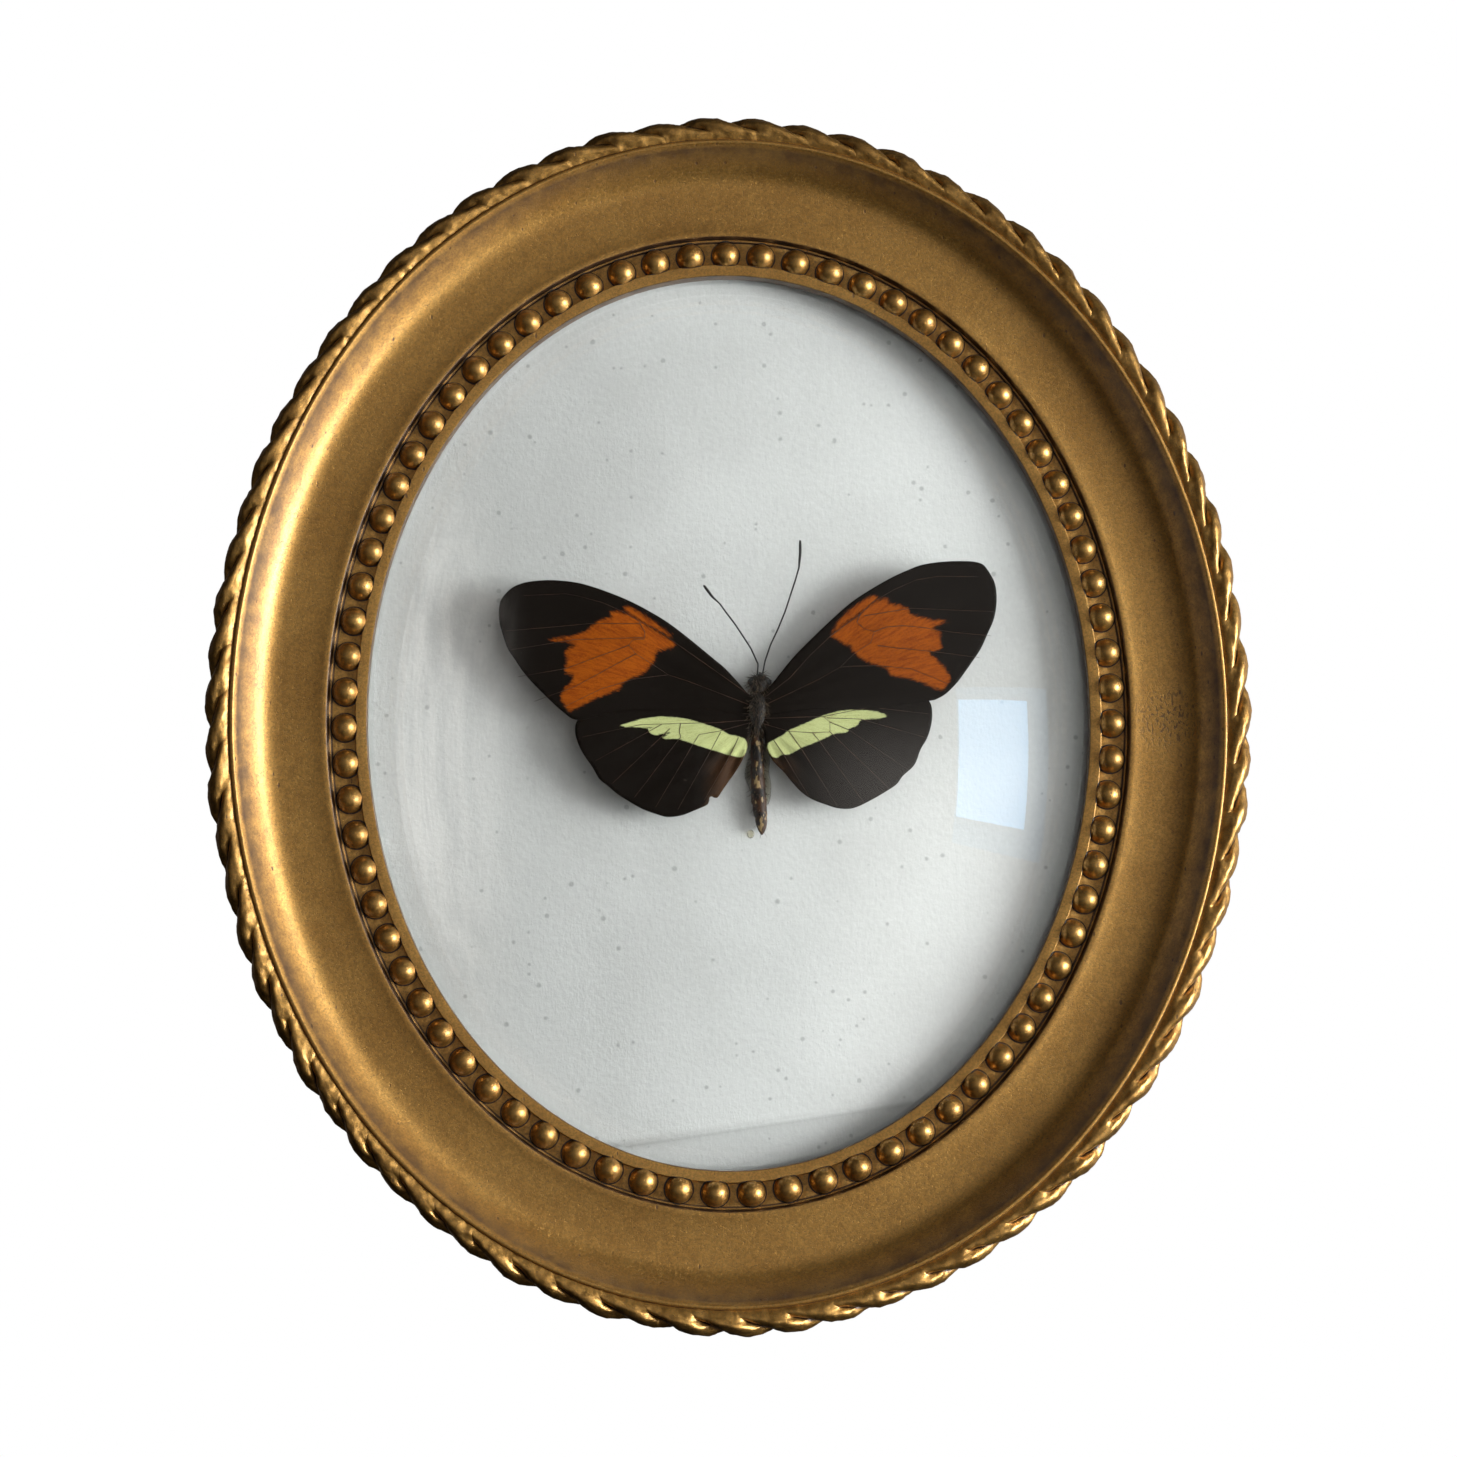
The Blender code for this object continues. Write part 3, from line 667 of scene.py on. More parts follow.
def ring_faces(rows: int, count: int, closed_rows: bool) -> np.ndarray:
    """Returns the quads of rows of count points each, every row a closed ring.

    Args:
        rows: How many rows there are.
        count: How many points each row has.
        closed_rows: Whether the last row joins the first.

    Returns:
        Four point numbers for each quad.
    """
    row = np.arange(rows if closed_rows else rows - 1)[:, None]
    step = np.arange(count)[None, :]
    here = row * count
    ahead = ((row + 1) % rows) * count
    after = (step + 1) % count
    corners = np.broadcast_arrays(here + step, here + after, ahead + after, ahead + step)
    return np.stack(corners, axis=-1).reshape(-1, 4)


def capped_rings(rows: int, count: int, tips: tuple[int, int] = (0, 1)) -> list[tuple[int, ...]]:
    """Returns the faces of rows of count points each, closed to a tip at both ends.

    Args:
        rows: How many rows there are.
        count: How many points each row has.
        tips: Which of the two points after the last row closes the first row, and which the last.

    Returns:
        The point numbers of each face.
    """
    faces = [tuple(f) for f in ring_faces(rows, count, False)]
    spare, last = rows * count, (rows - 1) * count
    for k in range(count):
        after = (k + 1) % count
        faces += [(after, k, spare + tips[0]), (last + k, last + after, spare + tips[1])]
    return faces


def full_turn(sides: int) -> np.ndarray:
    """Returns even angles for one full turn."""
    return math.tau * np.arange(sides) / sides


def new_piece(name: str, vertices: Any, faces: Any, material: Material | None = None,
              attributes: dict[str, np.ndarray] | None = None, sharp_degrees: float = 60.0) -> Piece:
    """Makes an object from points and faces, with its normals outwards and smooth shading.

    Args:
        name: The piece's name.
        vertices: Its points, in metres.
        faces: The point numbers of each face.
        material: Its material, if it has one yet.
        attributes: Values for each point, one number or three.
        sharp_degrees: Edges that turn further than this stay sharp.

    Returns:
        The new object.
    """
    mesh = bpy.data.meshes.new(name)
    mesh.from_pydata(np.asarray(vertices, float).tolist(), [], [list(map(int, f)) for f in faces])
    for label, values in (attributes or {}).items():
        values = np.asarray(values, np.float32)
        kind, field_name = ("FLOAT", "value") if values.ndim == 1 else ("FLOAT_VECTOR", "vector")
        mesh.attributes.new(label, kind, "POINT").data.foreach_set(field_name, values.ravel())
    shell = bmesh.new()
    shell.from_mesh(mesh)
    bmesh.ops.recalc_face_normals(shell, faces=shell.faces)
    shell.to_mesh(mesh)
    shell.free()
    mesh.shade_smooth()
    mesh.set_sharp_from_angle(angle=math.radians(sharp_degrees))
    if material is not None:
        mesh.materials.append(material)
    piece = bpy.data.objects.new(name, mesh)
    bpy.context.scene.collection.objects.link(piece)
    return piece


def bake_modifiers(piece: Piece) -> Piece:
    """Turns a piece and its modifiers into one plain mesh.

    Args:
        piece: The piece, whose modifiers go.

    Returns:
        The same piece.
    """
    depsgraph = bpy.context.evaluated_depsgraph_get()
    evaluated = piece.evaluated_get(depsgraph)
    mesh = bpy.data.meshes.new_from_object(evaluated, preserve_all_data_layers=True, depsgraph=depsgraph)
    piece.modifiers.clear()
    piece.data = mesh
    return piece


def run_tree(piece: Piece, tree: NodeTree, values: dict[str, Any]) -> Piece:
    """Runs a Geometry Nodes tree on a piece and keeps the result as a plain mesh.

    Args:
        piece: The object whose mesh goes in.
        tree: The tree.
        values: Its inputs by name.

    Returns:
        The same object, with its new mesh.
    """
    modifier = piece.modifiers.new(tree.name, "NODES")
    modifier.node_group = tree
    for item in tree.interface.items_tree:
        if item.in_out == "INPUT" and item.name in values:
            modifier[item.identifier] = values[item.name]
    return bake_modifiers(piece)


def hand_over(piece: Piece, slot: Slot, *nodes: str) -> None:
    """Ties a finished piece to the frame.

    Args:
        piece: The piece.
        slot: A material slot name; not used.
        *nodes: The CAD nodes that it stands for.
    """
    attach(piece, BODY)
    if nodes:
        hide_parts(*nodes)
    triangles = sum(len(p.vertices) - 2 for p in piece.data.polygons)
    LOG.info("%s: %d triangles, in place of %s", piece.name, triangles, ", ".join(nodes) or "nothing")


class RepeatTrees:
    """The Geometry Nodes trees that lay out what repeats."""

    def __init__(self) -> None:
        """Makes every tree."""
        self.round_oval = self.make_round_oval()
        self.tubes = self.make_tubes()
        self.scatter = self.make_scatter()

    def make_round_oval(self) -> NodeTree:
        """Makes the tree that repeats one module round an oval and bends it to follow.

        In the module x is the way along, in shares of the pitch, y outwards and z the height.

        Returns:
            The tree.
        """
        build, given, result = new_group("GeometryNodeTree", "round_oval", {
            "Module": GEOMETRY, "Count": INT, "Phase": FLOAT, "Drift Across": FLOAT,
            "Drift Up": FLOAT, "Half Width": FLOAT, "Half Height": FLOAT,
            "Unevenness": FLOAT, "Hammering": FLOAT, "Hammer Scale": FLOAT,
            "Seed": INT, "Material": MATERIAL,
        }, {"Pieces": GEOMETRY})
        count = given["Count"]
        places = build.make("GeometryNodeMeshLine", {
            "Count": count, "Offset": (1.0, 0.0, 0.0)}, mode="OFFSET")
        laid = build.make("GeometryNodeInstanceOnPoints", {"Points": places, "Instance": given["Module"]})
        number = build.make("GeometryNodeInputIndex")
        chance = build.add("FunctionNodeRandomValue", {
            2: -1.0, 3: 1.0, "ID": number, "Seed": given["Seed"]}, data_type="FLOAT").outputs[1]
        marked = build.make("GeometryNodeStoreNamedAttribute", {
            "Geometry": laid, "Name": "chance", "Value": chance}, data_type="FLOAT", domain="INSTANCE")
        solid = build.make("GeometryNodeRealizeInstances", {0: marked})
        swell = build.plus(1.0, build.times(build.stored("chance"), given["Unevenness"]))
        swollen = build.make("GeometryNodeSetPosition", {
            "Geometry": solid, "Offset": build.scaled(build.stored("bulge", "FLOAT_VECTOR"), swell)})
        circle = build.make("GeometryNodeCurvePrimitiveCircle", {
            "Resolution": 2880, "Radius": 1.0}, mode="RADIUS")
        axes = build.make("ShaderNodeCombineXYZ", {0: given["Half Width"], 1: given["Half Height"], 2: 1.0})
        path = build.make("GeometryNodeTransform", {"Geometry": circle, "Scale": axes})
        local = build.add("ShaderNodeSeparateXYZ", {0: build.make("GeometryNodeInputPosition")}).outputs
        even = build.math("DIVIDE", build.plus(local[0], given["Phase"]), count)
        turn = build.times(even, math.tau)
        drift = build.plus(build.times(build.math("COSINE", turn), given["Drift Across"]),
                           build.times(build.math("SINE", turn), given["Drift Up"]))
        share = build.math("FRACT", build.plus(build.plus(even, build.math("DIVIDE", drift, count)), 1.0))
        sample = build.add("GeometryNodeSampleCurve", {
            "Curves": path, "Factor": share}, mode="FACTOR", use_all_curves=True)
        along = build.add("ShaderNodeSeparateXYZ", {0: sample.outputs["Tangent"]}).outputs
        at = build.add("ShaderNodeSeparateXYZ", {0: sample.outputs["Position"]}).outputs
        target = build.make("ShaderNodeCombineXYZ", {
            0: build.math("MULTIPLY_ADD", along[1], local[1], at[0]), 1: build.times(local[2], -1.0),
            2: build.math("MULTIPLY_ADD", build.times(along[0], -1.0), local[1], at[1])})
        bent = build.make("GeometryNodeSetPosition", {"Geometry": swollen, "Position": target})
        dents = build.add("ShaderNodeTexNoise", {
            "Vector": build.make("GeometryNodeInputPosition"), "Scale": given["Hammer Scale"], "Detail": 2.0})
        shift = build.vector("SUBTRACT", dents.outputs["Color"], (0.5, 0.5, 0.5))
        dented = build.make("GeometryNodeSetPosition", {
            "Geometry": bent, "Offset": build.scaled(shift, given["Hammering"])})
        welded = build.make("GeometryNodeMergeByDistance", {"Geometry": dented, "Distance": 0.004 * MM})
        return self.put_out(build, given, result, welded)

    def make_tubes(self) -> NodeTree:
        """Makes the tree that turns lines into tubes, as thick as the points say.

        Returns:
            The tree.
        """
        build, given, result = new_group("GeometryNodeTree", "tubes", {
            "Lines": GEOMETRY, "Sides": INT, "Spacing": FLOAT, "Material": MATERIAL,
        }, {"Tubes": GEOMETRY})
        thick = build.stored("thick")
        curves = build.make("GeometryNodeMeshToCurve", {0: given["Lines"]})
        smooth = build.make("GeometryNodeCurveSplineType", {0: curves}, spline_type="CATMULL_ROM")
        even = build.make("GeometryNodeResampleCurve", {
            "Curve": smooth, "Length": given["Spacing"]}, mode="LENGTH")
        sized = build.make("GeometryNodeSetCurveRadius", {"Curve": even, "Radius": thick})
        profile = build.make("GeometryNodeCurvePrimitiveCircle", {
            "Resolution": given["Sides"], "Radius": 1.0}, mode="RADIUS")
        tubes = build.make("GeometryNodeCurveToMesh", {
            "Curve": sized, "Profile Curve": profile, "Fill Caps": True, "Scale": thick})
        return self.put_out(build, given, result, tubes)

    def make_scatter(self) -> NodeTree:
        """Makes the tree that strews one small shape over a surface, each with its own size and tilt.

        Returns:
            The tree.
        """
        build, given, result = new_group("GeometryNodeTree", "scatter", {
            "Surface": GEOMETRY, "Shape": "NodeSocketObject", "Density": FLOAT, "Lean": VECTOR,
            "Tilt": FLOAT, "Smallest": FLOAT, "Largest": FLOAT,
            "Seed": INT, "Material": MATERIAL,
        }, {"Strewn": GEOMETRY})
        seed = given["Seed"]
        density = build.times(build.stored("strew"), given["Density"])
        points = build.add("GeometryNodeDistributePointsOnFaces", {
            "Mesh": given["Surface"], "Density": density, "Seed": seed})
        jitter = build.make("FunctionNodeRandomValue", {
            0: (-1.0, -1.0, -1.0), 1: (1.0, 1.0, 1.0), "Seed": seed}, data_type="FLOAT_VECTOR")
        leaning = build.vector("ADD", points.outputs["Normal"], given["Lean"])
        leaning = build.vector("ADD", leaning, build.scaled(jitter, given["Tilt"]))
        turn = build.make("FunctionNodeAlignRotationToVector", {"Vector": leaning}, axis="Z")
        size = build.add("FunctionNodeRandomValue", {
            2: given["Smallest"], 3: given["Largest"], "Seed": seed}, data_type="FLOAT")
        shape = build.add("GeometryNodeObjectInfo", {"Object": given["Shape"]})
        laid = build.make("GeometryNodeInstanceOnPoints", {
            "Points": points.outputs[0], "Instance": shape.outputs["Geometry"],
            "Rotation": turn, "Scale": size.outputs[1]})
        return self.put_out(build, given, result, laid)

    @staticmethod
    def put_out(build: NodeBuilder, given: Any, result: Node, pieces: Any) -> NodeTree:
        """Ends a tree: its instances are made real and get their material.

        Args:
            build: The tree's builder.
            given: The tree's inputs.
            result: The node for its output.
            pieces: The geometry to put out.

        Returns:
            The tree.
        """
        solid = build.make("GeometryNodeRealizeInstances", {0: pieces})
        dressed = build.make("GeometryNodeSetMaterial", {"Geometry": solid, "Material": given["Material"]})
        build.feed(result, {0: dressed})
        return build.tree


TREES = RepeatTrees()


@dataclass(frozen=True)
class Corner:
    """A corner of the moulding's section.

    The wash field says how much brown wash and painted shade lie there, gilt whether it is
    gilded, radius how far the corner is rounded, and steps into how many parts the side after it is cut.
    """

    offset: float
    height: float
    wash_and_shade: float = 0.0
    gilt: float = 1.0
    radius: float = 0.0
    steps: int = 1

    def row(self) -> np.ndarray:
        """Returns what every row of the moulding is made from."""
        return np.array([self.offset, self.height, self.wash_and_shade, self.gilt])


@dataclass
class Moulding:
    """The oval gilt moulding: its swept body, its beads and its rope edge."""

    stations_per_bead: int = 12
    shelf_height: float = 6.9 * MM
    rebate_offset: float = 2.8 * MM
    band_low: float = 9.2 * MM
    band_offset: float = 1.6 * MM
    band_height: float = 9.4 * MM
    channel_inner: float = 1.75 * MM
    channel_outer: float = 4.98 * MM
    channel_height: float = 8.4 * MM
    step_offset: float = 5.55 * MM
    step_height: float = 9.8 * MM
    scoop_inner_height: float = 9.9 * MM
    scoop_offsets: tuple[float, ...] = (5.85, 8.5, 11.9, 12.7, 13.4, 14.5, 15.5, 16.6, 17.4, 18.0)
    scoop_slopes: tuple[float, ...] = (-9.0, 0.0, 4.0, 8.0, 16.0, 32.0, 46.0, 50.0, 52.0, 54.0)
    scoop_steps: int = 20
    scoop_samples: int = 20
    scoop_wash_and_shade: tuple[float, float] = (0.05, 0.7)
    shade_from: float = 0.60
    shade_power: float = 1.3
    lip_width: float = 0.42 * MM
    side_offset: float = 20.7 * MM
    side_height: float = 7.4 * MM
    back_offset: float = 19.6 * MM
    bead_count: int = 75
    bead_phase: float = -0.25
    bead_offset: float = 3.1 * MM
    bead_radius: float = 1.96 * MM
    bead_sink: float = 0.1 * MM
    no_bead: float = 5.0 * MM
    bead_sides: int = 28
    bead_rings: int = 11
    bead_wash: float = 0.34
    groove_depth: float = 0.22 * MM
    groove_width: float = 0.2 * MM
    rope_strands: int = 72
    rope_offset: float = 19.95 * MM
    rope_height: float = 12.55 * MM
    rope_squareness: float = 0.72
    rope_tilt: float = math.radians(30.0)
    rope_radius: float = 1.93 * MM
    rope_groove: float = 1.5 * MM
    rope_first: float = math.radians(-40.0)
    rope_last: float = math.radians(140.0)
    rope_rows: int = 40
    rope_phase: float = 0.1
    rope_drift: tuple[float, float] = (-0.35, 0.1)
    strand_columns: int = 25
    strand_slant: float = 1.0
    rope_seed: int = 11
    bead_seed: int = 5
    hanger_z: float = 75.0 * MM
    plate_width: float = 42.6 * MM
    plate_height: float = 7.6 * MM
    plate_depth: float = 1.3 * MM
    head_slot: tuple[float, float, float] = (26.0 * MM, 12.0 * MM, 3.4 * MM)
    nail_x: float = 17.5 * MM
    nail_hole: tuple[float, float] = (0.9 * MM, 5.3 * MM)

    def scoop(self) -> list[Corner]:
        """Returns the hollow of the scoop, whose slope grows from the step out to the lip and whose painted
        shade, carried in the wash, grows towards the lip.

        Returns:
            The corners in order.
        """
        count = self.scoop_samples * self.scoop_steps + 1
        offsets = np.linspace(self.scoop_offsets[0], self.scoop_offsets[-1], count)
        slopes = np.tan(np.radians(np.interp(offsets, self.scoop_offsets, self.scoop_slopes)))
        rises = np.concatenate([[0.0], np.cumsum(0.5 * (slopes[1:] + slopes[:-1]) * np.diff(offsets))])
        corners = []
        for i in range(0, count, self.scoop_samples):
            # Painted shade: over the outer part of the scoop the wash grows towards the lip, darkening its
            # steep outer wall.
            shadow = max(0.0, i / count - self.shade_from) / (1.0 - self.shade_from)
            wash_and_shade = self.scoop_wash_and_shade[0] + self.scoop_wash_and_shade[1] * shadow ** self.shade_power
            corners.append(Corner(offsets[i] * MM, self.scoop_inner_height + rises[i] * MM, wash_and_shade))
        return corners

    def section(self) -> list[Corner]:
        """Returns the corners of the closed section, from the shelf over the front to the back.

        Returns:
            The corners in order.
        """
        scoop = self.scoop()
        outer, lip = scoop[-1].offset, scoop[-1].height
        raw = 0.0
        edge = self.channel_outer
        rope = outer + self.lip_width
        return [
            Corner(0.0, self.shelf_height, 0.6, raw),
            Corner(0.0, self.band_low, 0.75, 1.0, 0.08 * MM),
            Corner(0.22 * MM, self.band_low + 0.03 * MM, 0.12),
            Corner(self.band_offset, self.band_height, 0.1, 1.0, 0.12 * MM),
            Corner(self.channel_inner, self.channel_height, 0.16, 1.0, 0.0, 14),
            Corner(edge - 0.22 * MM, self.channel_height, 0.18),
            # Painted shade: the step wall and its top carry heavy wash, which makes them near black; the
            # lightly washed ledge between them stays gilt.
            Corner(edge, self.channel_height, 0.85, 1.0, 0.0, 2),
            Corner(edge + 0.04 * MM, self.channel_height + 0.45 * MM, 0.8),
            Corner(edge + 0.26 * MM, self.channel_height + 0.52 * MM, 0.22),
            Corner(edge + 0.32 * MM, self.channel_height + 0.7 * MM, 0.95, 1.0, 0.0, 2),
            Corner(self.step_offset, self.step_height, 0.8, 1.0, 0.08 * MM),
            *scoop[:-1],
            Corner(outer, lip, 0.1, 1.0, 0.16 * MM),
            Corner(rope, lip - 0.05 * MM, 0.1, 1.0, 0.12 * MM),
            Corner(rope + 0.06 * MM, lip - 0.26 * MM, 0.6, 1.0),
            Corner(rope + 0.5 * MM, lip - 0.6 * MM, 0.5, 1.0),
            Corner(self.side_offset - 0.6 * MM, self.rope_height - 0.5 * MM, 0.9),
            Corner(self.side_offset, self.side_height, 0.6, 1.0, 0.4 * MM, 4),
            Corner(self.back_offset, 0.0, 0.9, raw, 0.3 * MM, 4),
            Corner(self.rebate_offset, 0.0, 0.9, raw, 0.2 * MM, 3),
            Corner(self.rebate_offset, self.shelf_height, 0.9, raw),
        ]

    @staticmethod
    def rounded(corners: list[Corner], arc_points: int = 4) -> np.ndarray:
        """Rounds the corners of a closed section and parts its long sides.

        Args:
            corners: The corners in order.
            arc_points: How many points a rounded corner gets.

        Returns:
            A row of offset, height, wash with painted shade, and gilt for each point.
        """
        arcs = []
        for i, corner in enumerate(corners):
            here = corner.row()
            before, after = corners[i - 1].row(), corners[(i + 1) % len(corners)].row()
            if not corner.radius:
                arcs.append([here])
                continue
            ends = []
            for other in (before, after):
                span = np.linalg.norm(other[:2] - here[:2])
                ends.append(here + (other - here) * min(corner.radius / span, 0.45))
                ends[-1][3] = here[3]
            shares = np.linspace(0.0, 1.0, arc_points)
            arcs.append([(1 - t) ** 2 * ends[0] + 2 * t * (1 - t) * here + t * t * ends[1] for t in shares])
        rows = []
        for i, corner in enumerate(corners):
            rows += arcs[i]
            last, ahead = arcs[i][-1], arcs[(i + 1) % len(corners)][0]
            rows += [last + (ahead - last) * k / corner.steps for k in range(1, corner.steps)]
        return np.array(rows)

    def build_body(self) -> Piece:
        """Sweeps the section round the oval and lets the hanger into the back.

        Returns:
            The body.
        """
        rows = self.rounded(self.section())
        bead_oval = SIGHT.grown(self.bead_offset)
        stations = self.stations_per_bead
        angles = bead_oval.even_angles(self.bead_count * stations, self.bead_phase * stations)
        bead_angles = bead_oval.even_angles(self.bead_count, self.bead_phase)
        centres = bead_oval.points(bead_angles, self.channel_height)
        count = len(angles)
        vertices, gaps, sweep = [], [], []
        for offset, height, _, _ in rows:
            ring = SIGHT.grown(offset).points(angles, height)
            nearest = centres[(np.arange(count) + stations // 2) // stations % self.bead_count]
            gap = np.linalg.norm((ring - nearest)[:, [0, 2]], axis=1) - self.bead_radius
            on_level = abs(height - self.channel_height) < 0.01 * MM
            if on_level and self.channel_inner - 0.01 * MM < offset < self.channel_outer + 0.01 * MM:
                ring[:, 1] += self.groove_depth * np.exp(-((gap - 0.05 * MM) / self.groove_width) ** 2)
            near_beads = self.channel_inner - 0.6 * MM < offset < self.step_offset
            seen = near_beads and height > self.shelf_height
            gaps.append(gap if seen else np.full(count, self.no_bead))
            vertices.append(ring)
            sweep.append(np.stack([
                2.2 * np.cos(angles), 2.2 * np.sin(angles), np.full(count, offset / (0.35 * MM))], axis=1))
        body = new_piece(
            "moulding_body", np.concatenate(vertices), ring_faces(len(rows), count, True), GILT_MATERIAL,
            {"wash_and_shade": np.repeat(rows[:, 2], count), "gilt": np.repeat(rows[:, 3], count),
             "bead_gap": np.concatenate(gaps), "sweep": np.concatenate(sweep)}, 50.0)
        return self.cut_hanger_place(body)

    def cut_hanger_place(self, body: Piece) -> Piece:
        """Cuts the places of the hanger plate, the nail head and the two small nails.

        Args:
            body: The moulding's body.

        Returns:
            The same body.
        """
        slot_width, slot_height, slot_depth = self.head_slot
        radius, depth = self.nail_hole
        cutters = [
            self.block("plate_cutter", self.plate_width, self.plate_height, self.plate_depth, self.hanger_z),
            self.block("head_cutter", slot_width, slot_height, slot_depth, self.hanger_z - 2.5 * MM),
            self.peg("nail_cutter_left", -self.nail_x, radius, depth),
            self.peg("nail_cutter_right", self.nail_x, radius, depth),
        ]
        for cutter in cutters:
            modifier = body.modifiers.new(cutter.name, "BOOLEAN")
            modifier.operation = "DIFFERENCE"
            modifier.solver = "EXACT"
            modifier.object = cutter
        bake_modifiers(body)
        for cutter in cutters:
            bpy.data.objects.remove(cutter)
        return body

    @staticmethod
    def block(name: str, width: float, height: float, depth: float, z: float) -> Piece:
        """Makes a box that reaches depth into the back from behind the wall plane.

        Args:
            name: The box's name.
            width: Its width.
            height: Its height.
            depth: How deep it reaches.
            z: Where its middle is.

        Returns:
            The box.
        """
        corners = [
            (x * 0.5 * width, y, z + s * 0.5 * height)
            for y in (MM, -depth) for x, s in ((-1, -1), (1, -1), (1, 1), (-1, 1))
        ]
        faces = [tuple(f) for f in ring_faces(2, 4, False)] + [(0, 1, 2, 3), (7, 6, 5, 4)]
        return new_piece(name, corners, faces)

    def peg(self, name: str, x: float, radius: float, depth: float, sides: int = 16) -> Piece:
        """Makes a round cutter that reaches depth into the back.

        Args:
            name: The cutter's name.
            x: Where its middle is.
            radius: Its radius.
            depth: How deep it reaches.
            sides: How many sides it has.

        Returns:
            The cutter.
        """
        turns = full_turn(sides)
        across, up = x + radius * np.cos(turns), self.hanger_z + radius * np.sin(turns)
        rings = [np.stack([across, np.full(sides, y), up], axis=1) for y in (MM, -depth)]
        faces = [tuple(f) for f in ring_faces(2, sides, False)]
        faces += [tuple(range(sides)), tuple(range(sides, 2 * sides))]
        return new_piece(name, np.concatenate(rings), faces)

    def build_beads(self) -> Piece:
        """Turns one bead and repeats it along the channel.

        Returns:
            The beads.
        """
        oval = SIGHT.grown(self.bead_offset)
        pitch = oval.length() / self.bead_count
        turns = full_turn(self.bead_sides)
        lifts = np.linspace(-4.0, 84.0, self.bead_rings)
        base = self.channel_height - self.bead_sink
        rings, wash_and_shade = [], []
        for lift in np.radians(lifts):
            radius = self.bead_radius * math.cos(lift)
            rings.append(np.stack([
                radius * np.cos(turns) / pitch, radius * np.sin(turns),
                np.full(self.bead_sides, base + self.bead_radius * math.sin(lift)),
            ], axis=1))
            foot = max(0.0, 0.55 - 4.0 * max(0.0, math.sin(lift)))
            wash_and_shade.append(np.full(self.bead_sides, self.bead_wash + foot))
        tips = [[0.0, 0.0, base + self.bead_radius], [0.0, 0.0, base - 0.1 * MM]]
        vertices = np.concatenate(rings + [tips])
        faces = capped_rings(self.bead_rings, self.bead_sides, (1, 0))
        count = len(vertices)
        rise = np.clip((vertices[:, 2] - base) / self.bead_radius, 0.0, 1.0)
        bead = new_piece("moulding_beads", vertices, faces, None, {
            "wash_and_shade": np.concatenate(wash_and_shade + [[0.0, 1.0]]), "gilt": np.ones(count),
            "bead_gap": np.full(count, self.no_bead), "rubbed": rise ** 2,
            "bulge": np.stack([np.zeros(count), np.zeros(count), 0.25 * MM * rise], axis=1)})
        return run_tree(bead, TREES.round_oval, {
            "Count": self.bead_count, "Phase": self.bead_phase,
            "Half Width": oval.half_width, "Half Height": oval.half_height,
            "Unevenness": 0.5, "Hammering": 0.10 * MM, "Hammer Scale": 420.0, "Seed": self.bead_seed,
            "Material": GILT_MATERIAL})

    def build_rope(self) -> Piece:
        """Shapes one strand of the rope edge and repeats it round the frame.

        Returns:
            The rope edge.
        """
        hidden_rows = 4
        hidden = 1.0 + np.arange(1, hidden_rows + 1) / (hidden_rows + 1)
        shares = np.concatenate([np.linspace(0.0, 1.0, self.rope_rows), hidden])
        across = 0.5 - 0.5 * np.cos(np.linspace(0.0, math.pi, self.strand_columns))
        points, bulges, wash_and_shade, rubbed = [], [], [], []
        for share in shares:
            seen = min(share, 1.0)
            back = max(share - 1.0, 0.0)
            around = self.rope_first + (self.rope_last - self.rope_first) * seen
            around += back * (math.tau - self.rope_last + self.rope_first)
            relief = self.smooth(seen, 0.05, 0.34) * (1.0 - 0.6 * self.smooth(seen, 0.86, 1.0)) * (1.0 - back)
            crest = (1.0 - np.abs(2.0 * across - 1.0) ** 2.1) ** 0.62
            crest = crest * (0.84 + 0.32 * across)
            slant = self.strand_slant * (seen if back == 0.0 else 1.0 - back)
            base = self.rope_radius - self.rope_groove * relief
            outward = self.rope_outward(around)
            column = np.array([0.0, self.rope_offset, self.rope_height]) + base * outward
            for p, c in zip(across, crest):
                points.append(column + np.array([p + slant, 0.0, 0.0]))
                bulges.append(outward * self.rope_groove * relief * c)
                # Painted shade: the gaps between strands are washed towards black, most where the relief is
                # deepest; the first row, by the lip, gets a fixed wash.
                wash_and_shade.append(max(0.0, relief * (1.6 - 2.6 * c)) if seen > 0.01 else 0.35)
                rubbed.append(relief * max(0.0, c - 0.55) * 1.6)
        points = np.array(points)
        points[:, 1] -= self.rope_offset
        rows, columns = len(shares), self.strand_columns
        faces = []
        for r in range(rows):
            for c in range(columns - 1):
                here, ahead = r * columns + c, ((r + 1) % rows) * columns + c
                faces.append((here, here + 1, ahead + 1, ahead))
        count = len(points)
        strand = new_piece("moulding_rope", points, faces, None, {
            "bulge": np.array(bulges), "wash_and_shade": np.array(wash_and_shade), "rubbed": np.array(rubbed),
            "gilt": np.ones(count), "bead_gap": np.full(count, self.no_bead)})
        oval = SIGHT.grown(self.rope_offset)
        rope = run_tree(strand, TREES.round_oval, {
            "Count": self.rope_strands, "Phase": self.rope_phase,
            "Half Width": oval.half_width, "Half Height": oval.half_height,
            "Drift Across": self.rope_drift[0], "Drift Up": self.rope_drift[1],
            "Unevenness": 0.14, "Hammering": 0.48 * MM, "Hammer Scale": 850.0, "Seed": self.rope_seed,
            "Material": GILT_MATERIAL})
        return turned_outwards(rope)

